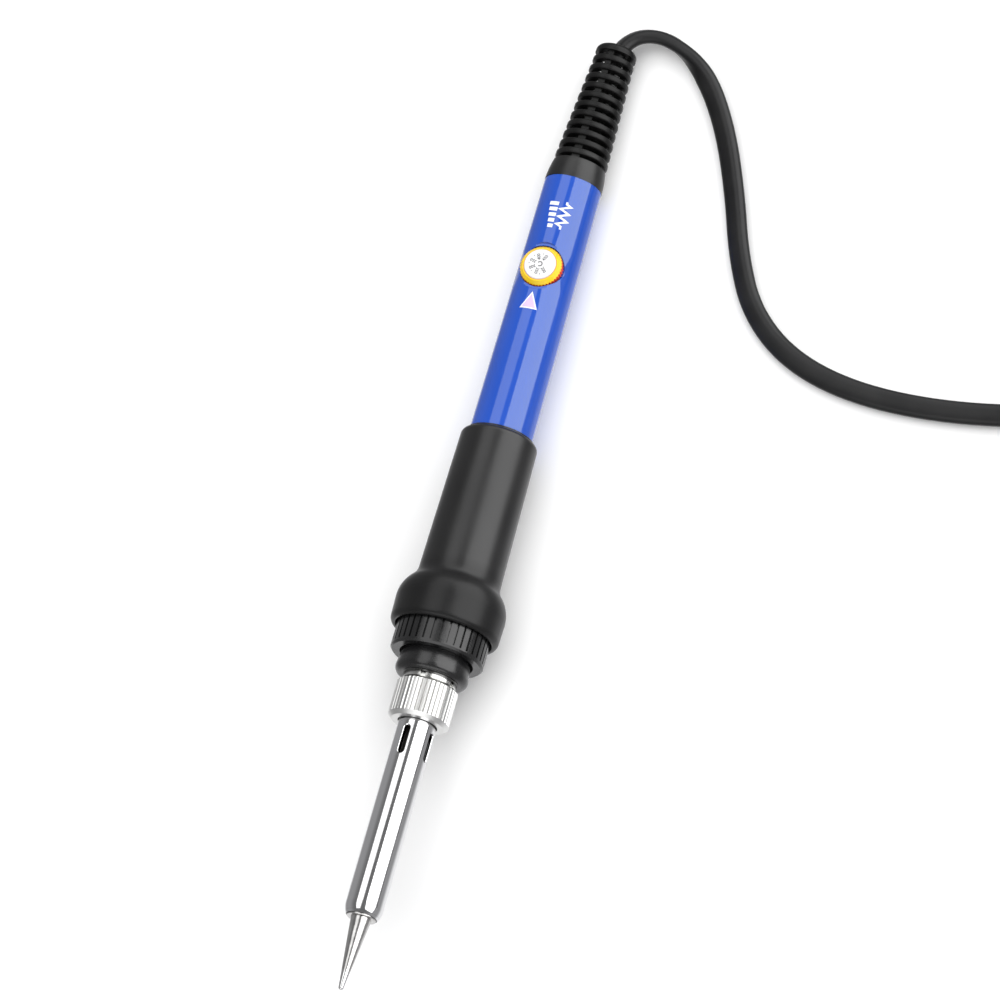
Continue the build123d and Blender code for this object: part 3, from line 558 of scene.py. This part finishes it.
# In millimetres on the dial. The numbers' turns are in degrees clockwise from the way to the
# cord, and the ring mark's angles are anticlockwise from the right.
FIRST_NUMBER_TURN = 139
NUMBER_TURN = 50
NUMBERS = ("200", "250", "300", "350", "400", "450")
NUMBER_SIZE = 1.0
NUMBER_BOLD = 0.018
NUMBER_START_R = 0.98
TICK_START_R = 2.25
NUMBER_THICKNESS = 0.015
NUMBER_STEPS = 3
RING_MARK_R = (0.40, 0.62)
RING_MARK_START = 241
RING_MARK_SWEEP = 270
RING_MARK_STEPS = 28


def dial_prints(name):
    """The numbers, read outwards from the dial's middle, and an open ring in the middle."""
    mesh = bmesh.new()
    marks = []
    for i, number in enumerate(NUMBERS):
        turn = FIRST_NUMBER_TURN + i * NUMBER_TURN
        marks += [(number, turn, NUMBER_START_R), ("-", turn + NUMBER_TURN / 2, TICK_START_R)]
    for text, turn, start in marks[:-1]:
        curve = bpy.data.curves.new("number", "FONT")
        curve.body = text
        curve.size = NUMBER_SIZE
        curve.offset = NUMBER_BOLD
        curve.align_y = "CENTER"
        curve.extrude = NUMBER_THICKNESS
        curve.resolution_u = NUMBER_STEPS
        holder = new_object("number", curve)
        flat = bpy.data.meshes.new_from_object(holder)
        outwards = Matrix.Rotation(radians(90 - turn), 4, "Z")
        flat.transform(outwards @ Matrix.Translation((start, 0, 0)))
        mesh.from_mesh(flat)
        bpy.data.objects.remove(holder)
        bpy.data.meshes.remove(flat)
    rings = []
    for step in range(RING_MARK_STEPS + 1):
        angle = radians(RING_MARK_START + RING_MARK_SWEEP * step / RING_MARK_STEPS)
        rings.append(
            [
                mesh.verts.new((r * cos(angle), r * sin(angle), z))
                for r, z in (
                    (RING_MARK_R[0], -NUMBER_THICKNESS),
                    (RING_MARK_R[1], -NUMBER_THICKNESS),
                    (RING_MARK_R[1], NUMBER_THICKNESS),
                    (RING_MARK_R[0], NUMBER_THICKNESS),
                )
            ]
        )
    skin(mesh, rings, smooth=False)
    mesh.faces.new(rings[0])
    mesh.faces.new(reversed(rings[-1]))
    for vertex in mesh.verts:
        x, y, z = vertex.co
        vertex.co = place(x, KNOB_AT + y, DIAL_TOP + z)
    return solid(name, mesh)


numbers = dial_prints("dial_numbers")
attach(numbers, "knob")

# --- Finishes ---------------------------------------------------------------------------------

NOISE_RANGE = (0.3, 0.7)
# Where a finish changes: the two ends of each change, in millimetres. The radii are from the
# iron's axis or the knob's, the rim is above the iron's axis, and the others are from tip.
TINNED_END = (3.4, 2.4)
LIP_BACK = (17.13, 17.33)
HEATER_DARK_START = (43.0, 47.0)
HEATER_DARK_END = (62.0, 60.5)
FLUTES_START = (62.1, 62.3)
FLUTE_R = (6.54, 6.66)
GRIP_SHOULDER = (92.0, 98.0)
KNOB_HOLLOW_SHADE_R = (3.72, 3.64)
KNOB_RIM = (6.15, 5.95)
RELIEF_BASE_END = (194.0, 197.0)


class Finish:
    """A material in the making. Its coordinates are millimetres right of the iron's axis, from
    tip, and above the axis."""

    def __init__(self, name, metallic=0.0, roughness=0.5):
        self.material = bpy.data.materials.new(name)
        self.material.use_nodes = True
        self.tree = self.material.node_tree
        self.shader = self.tree.nodes["Principled BSDF"]
        self.set("Metallic", metallic)
        self.set("Roughness", roughness)
        rest = self.node("TexCoord").outputs["Object"]
        offset = self.vector("SUBTRACT", rest, tuple(TIP_POINT))
        scaled = self.vector("MULTIPLY", offset, (1 / MM, 1 / MM, 1 / MM))
        self.x = self.vector("DOT_PRODUCT", scaled, tuple(RIGHT))
        self.along = self.vector("DOT_PRODUCT", scaled, tuple(ALONG))
        self.height = self.vector("DOT_PRODUCT", scaled, tuple(KNOB_WAY))
        self.at = self.combine(self.x, self.along, self.height)

    def node(self, kind, **settings):
        made = self.tree.nodes.new("ShaderNode" + kind)
        for key, value in settings.items():
            setattr(made, key, value)
        return made

    def put(self, socket, value):
        """Wires a socket, or sets it to a number, a vector or a colour."""
        if isinstance(value, bpy.types.NodeSocket):
            self.tree.links.new(value, socket)
        elif socket.type == "RGBA":
            socket.default_value = (*value, 1)
        else:
            socket.default_value = value

    def set(self, name, value):
        self.put(self.shader.inputs[name], value)

    def vector(self, operation, a, b=(0, 0, 0)):
        made = self.node("VectorMath", operation=operation)
        self.put(made.inputs[0], a)
        self.put(made.inputs[1], b)
        return made.outputs["Value" if operation in ("DOT_PRODUCT", "LENGTH") else "Vector"]

    def combine(self, x, y, z):
        made = self.node("CombineXYZ")
        for socket, value in zip(made.inputs, (x, y, z)):
            self.put(socket, value)
        return made.outputs[0]

    def maths(self, operation, a, b=0.0, c=0.0):
        made = self.node("Math", operation=operation)
        for socket, value in zip(made.inputs, (a, b, c)):
            self.put(socket, value)
        return made.outputs[0]

    def radius(self):
        """The distance from the iron's axis."""
        return self.vector("LENGTH", self.combine(self.x, self.height, 0.0))

    def turn(self):
        """The angle round the iron's axis, in radians, from the knob's side."""
        return self.maths("ARCTAN2", self.x, self.height)

    def from_knob(self):
        """The distance from the knob's axis."""
        return self.vector(
            "LENGTH", self.combine(self.x, self.maths("SUBTRACT", self.along, KNOB_AT), 0.0)
        )

    def noise(self, scale, detail=3.0, stretch=(1, 1, 1), at=None):
        """Cloudy noise, in cycles per millimetre."""
        made = self.node("TexNoise")
        where = self.vector("MULTIPLY", self.at if at is None else at, stretch)
        self.put(made.inputs["Vector"], where)
        self.put(made.inputs["Scale"], scale)
        self.put(made.inputs["Detail"], detail)
        return made.outputs["Fac"]

    def waves(self, value, scale):
        """A wave from 0 to 1 along a value, with scale cycles per unit."""
        phase = self.maths("MULTIPLY", value, 2 * pi * scale)
        return self.maths("MULTIPLY_ADD", self.maths("SINE", phase), 0.5, 0.5)

    def remap(self, value, low, high, new_low=0.0, new_high=1.0):
        made = self.node("MapRange")
        for socket, number in zip(made.inputs, (value, low, high, new_low, new_high)):
            self.put(socket, number)
        return made.outputs[0]

    def spread(self, noise, low=0.0, high=1.0):
        """The range that noise mostly keeps to, stretched over another."""
        return self.remap(noise, *NOISE_RANGE, low, high)

    def mix(self, share, a, b):
        made = self.node("MixRGB")
        for socket, value in zip(made.inputs, (share, a, b)):
            self.put(socket, value)
        return made.outputs[0]

    def bump(self, height, depth, under=None):
        """A relief of a given depth in millimetres, over another one."""
        made = self.node("Bump")
        self.put(made.inputs["Strength"], 1.0)
        self.put(made.inputs["Distance"], depth * MM)
        self.put(made.inputs["Height"], height)
        if under is not None:
            self.put(made.inputs["Normal"], under)
        self.set("Normal", made.outputs["Normal"])
        return made.outputs["Normal"]

    def tone(self, dark, light, scale, detail=3.0):
        """A base colour that varies softly between two."""
        colour = self.mix(self.spread(self.noise(scale, detail)), dark, light)
        self.set("Base Color", colour)
        return colour


def black_moulding(name, dark, light, roughness, grain, depth):
    """A black moulded plastic with a fine grain and an uneven sheen."""
    finish = Finish(name)
    finish.tone(dark, light, 0.12)
    sheen = finish.noise(0.35, 4.0)
    finish.set("Roughness", finish.spread(sheen, roughness - 0.04, roughness + 0.05))
    finish.set("Specular IOR Level", 0.7)
    finish.bump(finish.noise(grain, 3.0), depth)
    return finish


def relief_black():
    """The strain relief's moulding, whose plain base shines more than its rings."""
    finish = black_moulding(
        "relief_black", (0.004, 0.004, 0.004), (0.007, 0.007, 0.007), 0.38, 3.0, 0.012
    )
    finish.set("Specular IOR Level", finish.remap(finish.along, *RELIEF_BASE_END, 0.60, 0.25))
    return finish


def tip_plating():
    """Iron plating with a tinned end and faint turning lines."""
    finish = Finish("tip_plating", metallic=1.0)
    edge = finish.maths("MULTIPLY_ADD", finish.noise(1.1, 2.0), 1.6, 0.5)
    tinned = finish.remap(finish.maths("SUBTRACT", finish.along, edge), *TINNED_END)
    plating = finish.tone((0.60, 0.59, 0.58), (0.74, 0.73, 0.72), 0.5)
    finish.set("Base Color", finish.mix(tinned, plating, (0.88, 0.88, 0.88)))
    lines = finish.noise(1.0, 4.0, (0.05, 7.0, 0.05))
    polish = finish.spread(lines, 0.15, 0.27)
    tin_shine = finish.maths("MULTIPLY", tinned, 0.08)
    finish.set("Roughness", finish.maths("SUBTRACT", polish, tin_shine))
    finish.bump(finish.noise(0.9, 2.0), 0.03, finish.bump(lines, 0.004))
    return finish


def polished_steel(name, colour, rough, lengthwise, inside_r=0.0):
    """Polished metal with faint drawn or turned lines, oxidised inside a radius."""
    finish = Finish(name, metallic=1.0)
    dark = tuple(0.93 * c for c in colour)
    if lengthwise:
        where = finish.combine(finish.maths("MULTIPLY", finish.turn(), 14.0), finish.along, 0.0)
        lines = finish.noise(1.0, 4.0, (1.0, 0.03, 1.0), where)
    else:
        lines = finish.noise(1.0, 4.0, (0.04, 6.0, 0.04))
    outside = finish.mix(finish.spread(lines), dark, colour)
    if inside_r:
        oxidised = tuple(0.12 * c for c in colour)
        narrow = finish.remap(finish.radius(), inside_r + 0.06, inside_r)
        behind_lip = finish.remap(finish.along, *LIP_BACK)
        inside = finish.maths("MULTIPLY", narrow, behind_lip)
        outside = finish.mix(inside, outside, oxidised)
    finish.set("Base Color", outside)
    smears = finish.maths("MULTIPLY", lines, finish.noise(0.16, 4.0))
    finish.set("Roughness", finish.maths("MULTIPLY_ADD", smears, 0.12, rough - 0.03))
    finish.bump(lines, 0.0015)
    return finish


def nut_nickel():
    """Bright nickel, with grey painted shade in the roots of the flutes."""
    finish = Finish("nut_nickel", metallic=1.0)
    crest = finish.remap(finish.radius(), *FLUTE_R)
    bright = finish.tone((0.84, 0.84, 0.82), (0.91, 0.91, 0.90), 0.7)
    fluted = finish.remap(finish.along, *FLUTES_START)
    # Painted shade: the roots of the flutes are greyer than their crests.
    root_shade = finish.mix(fluted, bright, (0.52, 0.52, 0.51))
    finish.set("Base Color", finish.mix(crest, root_shade, bright))
    finish.set("Roughness", finish.remap(crest, 0.0, 1.0, 0.34, 0.28))
    finish.bump(finish.noise(2.2, 3.0), 0.004)
    return finish


def blue_plastic():
    """The glossy blue of the handle tube, with a few scuffs."""
    finish = Finish("blue_plastic")
    finish.tone((0.016, 0.080, 0.49), (0.018, 0.086, 0.52), 0.05, 2.0)
    scuffs = finish.remap(finish.noise(0.5, 5.0, (1.0, 0.15, 1.0)), 0.35, 0.75, 0.06, 0.14)
    finish.set("Roughness", scuffs)
    finish.set("Specular IOR Level", 0.95)
    finish.set("Specular Tint", (0.93, 1.0, 0.70))
    finish.bump(finish.noise(0.22, 2.0), 0.006)
    return finish


def knob_yellow():
    """Yellow on top, orange down the sides, and orange painted shade in the hollow for the dial.
    """
    finish = Finish("knob_yellow", roughness=0.28)
    yellow = finish.tone((0.94, 0.60, 0.006), (0.97, 0.66, 0.008), 0.8)
    rim = finish.remap(finish.height, *KNOB_RIM)
    yellow = finish.mix(rim, yellow, (0.85, 0.09, 0.02))
    # Painted shade: the hollow round the dial is orange all the way round.
    hollow_shade = finish.remap(finish.from_knob(), *KNOB_HOLLOW_SHADE_R)
    finish.set("Base Color", finish.mix(hollow_shade, yellow, (0.85, 0.20, 0.012)))
    finish.bump(finish.noise(3.0, 2.0), 0.006)
    return finish


def dial_white():
    """White plastic with faint turned rings."""
    finish = Finish("dial_white")
    finish.tone((0.74, 0.74, 0.75), (0.82, 0.82, 0.82), 0.6)
    finish.set("Roughness", finish.spread(finish.noise(1.5), 0.3, 0.45))
    rings = finish.waves(finish.from_knob(), 4.0)
    finish.bump(rings, 0.002)
    return finish


def grip_rubber():
    """Silicone rubber, a little shinier behind its shoulder."""
    finish = Finish("grip_rubber")
    finish.tone((0.007, 0.007, 0.0072), (0.010, 0.010, 0.0103), 0.08, 4.0)
    handled = finish.noise(0.12, 5.0, (1.0, 0.5, 1.0))
    finish.set("Roughness", finish.spread(handled, 0.31, 0.38))
    finish.set("Specular IOR Level", finish.remap(finish.along, *GRIP_SHOULDER, 0.30, 0.58))
    fine = finish.bump(finish.noise(5.0, 3.0), 0.010)
    finish.bump(finish.noise(0.25, 2.0), 0.02, fine)
    return finish


def ceramic_white():
    """White ceramic, darkened over a band from tip that lies behind the barrel's vents."""
    finish = Finish("ceramic_white")
    clean = finish.tone((0.66, 0.64, 0.58), (0.78, 0.77, 0.72), 0.5, 5.0)
    # A dark band along the heater, between two distances from tip, behind the barrel's vents.
    darkened = finish.maths(
        "MULTIPLY",
        finish.remap(finish.along, *HEATER_DARK_START),
        finish.remap(finish.along, *HEATER_DARK_END),
    )
    finish.set("Base Color", finish.mix(darkened, clean, (0.022, 0.020, 0.018)))
    finish.set("Roughness", finish.spread(finish.noise(2.0), 0.5, 0.7))
    finish.bump(finish.noise(4.0, 4.0), 0.01)
    return finish


def woven_sleeve():
    """White glass fibre with a plain weave."""
    finish = Finish("sleeve_fibre", roughness=0.8)
    arc = finish.maths("MULTIPLY", finish.turn(), 2.8)
    one = finish.waves(finish.maths("ADD", arc, finish.along), 0.9)
    other = finish.waves(finish.maths("SUBTRACT", arc, finish.along), 0.9)
    weave = finish.maths("MULTIPLY", one, other)
    finish.set("Base Color", finish.mix(weave, (0.58, 0.56, 0.50), (0.83, 0.82, 0.77)))
    finish.bump(finish.noise(6.0, 2.0), 0.02, finish.bump(weave, 0.12))
    return finish


def circuit_board():
    """Green mask with raised tracks."""
    finish = Finish("board_green", roughness=0.35)
    tracks = finish.node("TexBrick", offset=0.37)
    finish.put(tracks.inputs["Vector"], finish.combine(finish.x, finish.along, 0.0))
    finish.put(tracks.inputs["Color1"], (0.010, 0.095, 0.035))
    finish.put(tracks.inputs["Color2"], (0.012, 0.120, 0.045))
    finish.put(tracks.inputs["Mortar"], (0.005, 0.055, 0.020))
    finish.put(tracks.inputs["Scale"], 0.9)
    finish.put(tracks.inputs["Mortar Size"], 0.03)
    finish.set("Base Color", tracks.outputs["Color"])
    weave = finish.maths("ADD", finish.waves(finish.x, 1.4), finish.waves(finish.along, 1.4))
    finish.bump(tracks.outputs["Fac"], -0.035, finish.bump(weave, 0.003))
    return finish


def lacquered(name, dark, light, roughness, grain=1.5, depth=0.01):
    """A painted, dipped or glazed small piece."""
    finish = Finish(name)
    finish.tone(dark, light, 0.7, 4.0)
    gloss = finish.spread(finish.noise(1.2), roughness - 0.05, roughness + 0.08)
    finish.set("Roughness", gloss)
    finish.bump(finish.noise(grain, 3.0), depth)
    return finish


# The coloured rings of a resistor: where along it, and the colour.
RESISTOR_BANDS = (
    (-1.1, (0.08, 0.03, 0.01)),
    (-0.5, (0.01, 0.01, 0.01)),
    (0.1, (0.30, 0.02, 0.01)),
)


def resistor_lacquer():
    """Tan lacquer with coloured rings."""
    finish = Finish("component_tan", roughness=0.3)
    colour = finish.tone((0.42, 0.30, 0.17), (0.50, 0.37, 0.22), 0.7)
    for middle, band in RESISTOR_BANDS:
        distance = finish.maths("ABSOLUTE", finish.maths("SUBTRACT", finish.x, middle))
        colour = finish.mix(finish.remap(distance, 0.16, 0.13), colour, band)
    finish.set("Base Color", colour)
    finish.bump(finish.noise(1.5, 3.0), 0.01)
    return finish


def strap_fabric():
    """Black hook-and-loop strip with a short pile."""
    finish = Finish("tie_plastic", roughness=0.85)
    one = finish.waves(finish.maths("ADD", finish.x, finish.along), 0.8)
    other = finish.waves(finish.maths("SUBTRACT", finish.x, finish.along), 0.8)
    weave = finish.maths("MAXIMUM", one, other)
    fuzz = finish.noise(5.0, 4.0)
    finish.set("Base Color", finish.mix(fuzz, (0.006, 0.006, 0.0065), (0.022, 0.022, 0.023)))
    finish.set("Sheen Weight", 0.15)
    finish.bump(fuzz, 0.10, finish.bump(weave, 0.08))
    return finish


def cord_jacket():
    """PVC that was drawn out, so its marks run along the cord."""
    finish = Finish("cord_pvc")
    finish.tone((0.008, 0.008, 0.0085), (0.013, 0.013, 0.0135), 0.15)
    finish.set("Specular IOR Level", 0.35)
    marks = finish.node("TexNoise")
    where = finish.vector("MULTIPLY", finish.node("UVMap").outputs["UV"], (0.05, 40.0, 1.0))
    finish.put(marks.inputs["Vector"], where)
    finish.put(marks.inputs["Scale"], 1.0)
    finish.put(marks.inputs["Detail"], 4.0)
    finish.set("Roughness", finish.spread(marks.outputs["Fac"], 0.33, 0.45))
    finish.bump(finish.noise(2.5, 3.0), 0.012, finish.bump(marks.outputs["Fac"], 0.012))
    return finish


FINISHES = {
    "tip_plating": tip_plating(),
    "barrel_steel": polished_steel("barrel_steel", (0.90, 0.90, 0.91), 0.10, True, 3.7),
    "nut_nickel": nut_nickel(),
    "ferrule_steel": polished_steel("ferrule_steel", (0.80, 0.80, 0.78), 0.20, False),
    "steel_plain": polished_steel("steel_plain", (0.58, 0.57, 0.55), 0.30, False),
    "pin_metal": polished_steel("pin_metal", (0.80, 0.78, 0.74), 0.20, False),
    "collar_plastic": black_moulding(
        "collar_plastic", (0.007, 0.007, 0.0075), (0.011, 0.011, 0.0115), 0.24, 2.4, 0.010
    ),
    "grip_rubber": grip_rubber(),
    "blue_plastic": blue_plastic(),
    "knob_yellow": knob_yellow(),
    "dial_white": dial_white(),
    "relief_black": relief_black(),
    "plug_black": black_moulding(
        "plug_black", (0.012, 0.012, 0.013), (0.018, 0.018, 0.019), 0.42, 3.5, 0.03
    ),
    "component_black": black_moulding(
        "component_black", (0.012, 0.012, 0.012), (0.02, 0.02, 0.02), 0.55, 5.0, 0.02
    ),
    "component_red": lacquered("component_red", (0.30, 0.022, 0.012), (0.40, 0.035, 0.015), 0.2),
    "component_blue": lacquered("component_blue", (0.03, 0.11, 0.32), (0.05, 0.15, 0.42), 0.3),
    "component_tan": resistor_lacquer(),
    "board_green": circuit_board(),
    "ceramic_white": ceramic_white(),
    "sleeve_fibre": woven_sleeve(),
    "wire_insulation": lacquered("wire_insulation", (0.58, 0.55, 0.47), (0.68, 0.66, 0.58), 0.5),
    "core_insulation": lacquered("core_insulation", (0.02, 0.05, 0.22), (0.03, 0.07, 0.28), 0.4),
    "tie_plastic": strap_fabric(),
    "cord_pvc": cord_jacket(),
}
INKS = {
    "ink_white": lacquered("ink_white", (0.80, 0.82, 0.88), (0.90, 0.91, 0.93), 0.4, 6.0, 0.004),
    "ink_lilac": lacquered("ink_lilac", (0.62, 0.46, 0.72), (0.68, 0.52, 0.77), 0.4, 6.0, 0.004),
    "ink_grey": lacquered("ink_grey", (0.04, 0.04, 0.045), (0.09, 0.09, 0.095), 0.5, 6.0, 0.004),
}


def paint(obj, finish):
    obj.data.materials.clear()
    obj.data.materials.append(finish.material)


for part in frame["record"]["subparts"]:
    paint(nodes[part["node"]], FINISHES[part["material_slot"]])
paint(cord, FINISHES["cord_pvc"])
paint(tie, FINISHES["tie_plastic"])
paint(lap, FINISHES["tie_plastic"])
paint(plug, FINISHES["plug_black"])
paint(pointer_rim, INKS["ink_white"])
paint(pointer, INKS["ink_lilac"])
paint(heat_mark, INKS["ink_white"])
paint(numbers, INKS["ink_grey"])

# --- Floor and light --------------------------------------------------------------------------

FLOOR_HALF = 4.0
# Each softbox: azimuth of its middle round the iron and its lean towards the cord's end, in
# degrees, then its distance, width, length and radiance. The left, right and front ones make
# the highlights, and the wide one lights the colours and the floor.
SOFTBOXES = {
    "softbox_left": (-19, 19.8, 0.7, 0.43, 1.6, 1.25),
    "softbox_right": (52.5, 19.8, 0.7, 0.86, 1.6, 2.4),
    "softbox_wide": (12, 8, 1.3, 3.4, 3.4, 1.75),
    "softbox_front": (12, -70, 1.3, 1.6, 0.7, 1.3),
}

corners = [(x * FLOOR_HALF, y * FLOOR_HALF, 0) for x, y in ((-1, -1), (1, -1), (1, 1), (-1, 1))]
floor_mesh = bpy.data.meshes.new("floor")
floor_mesh.from_pydata(corners, [], [(0, 1, 2, 3)])
floor = new_object("floor", floor_mesh)
bench = Finish("bench", roughness=0.7)
bench.tone((0.94, 0.94, 0.94), (0.96, 0.96, 0.96), 0.01, 2.0)
bench.bump(bench.noise(0.3, 3.0), 0.02)
paint(floor, bench)
floor.visible_glossy = False

for name, (azimuth, lean, distance, width, length, radiance) in SOFTBOXES.items():
    lamp = bpy.data.lights.new(name, "AREA")
    lamp.shape = "RECTANGLE"
    lamp.size = width
    lamp.size_y = length
    lamp.energy = radiance * pi * width * length
    turned = radians(azimuth)
    outward = (RIGHT * sin(turned) + KNOB_WAY * cos(turned)) * cos(radians(lean))
    outward += ALONG * sin(radians(lean))
    across = RIGHT * cos(turned) - KNOB_WAY * sin(turned)
    lengthwise = outward.cross(across)
    softbox = new_object(name, lamp)
    softbox.matrix_world = Matrix.Translation(
        place(0, AIM_FROM_TIP) + outward * distance
    ) @ Matrix((across, lengthwise, outward)).transposed().to_4x4()
    softbox.visible_camera = False
    softbox.visible_diffuse = name == "softbox_wide"
    softbox.visible_glossy = name != "softbox_wide"

# The studio round the iron, by the height of a direction: the bench below, which stands in for
# the floor in reflections, the walls, and the gap overhead between the softboxes.
BENCH = (0.90, 0.90, 0.91)
HORIZON = (0.30, 0.30, 0.305)
OVERHEAD = (0.15, 0.15, 0.15)
RISE_FROM_BENCH = (-0.85, -0.45)
RISE_OVERHEAD = (0.15, 0.75)
world = bpy.data.worlds.new("studio")
world.use_nodes = True
bpy.context.scene.world = world
sky = world.node_tree
direction = sky.nodes.new("ShaderNodeTexCoord").outputs["Generated"]
split = sky.nodes.new("ShaderNodeSeparateXYZ")
sky.links.new(direction, split.inputs[0])
below = sky.nodes.new("ShaderNodeMixRGB")
above = sky.nodes.new("ShaderNodeMixRGB")
for blend, (low, high) in ((below, RISE_FROM_BENCH), (above, RISE_OVERHEAD)):
    rise = sky.nodes.new("ShaderNodeMapRange")
    rise.interpolation_type = "SMOOTHSTEP"
    rise.inputs["From Min"].default_value = low
    rise.inputs["From Max"].default_value = high
    sky.links.new(split.outputs["Z"], rise.inputs["Value"])
    sky.links.new(rise.outputs[0], blend.inputs["Fac"])
below.inputs["Color1"].default_value = (*BENCH, 1)
below.inputs["Color2"].default_value = (*HORIZON, 1)
above.inputs["Color2"].default_value = (*OVERHEAD, 1)
sky.links.new(below.outputs[0], above.inputs["Color1"])
sky.links.new(above.outputs[0], sky.nodes["Background"].inputs["Color"])
bpy.context.scene.view_settings.view_transform = "Standard"
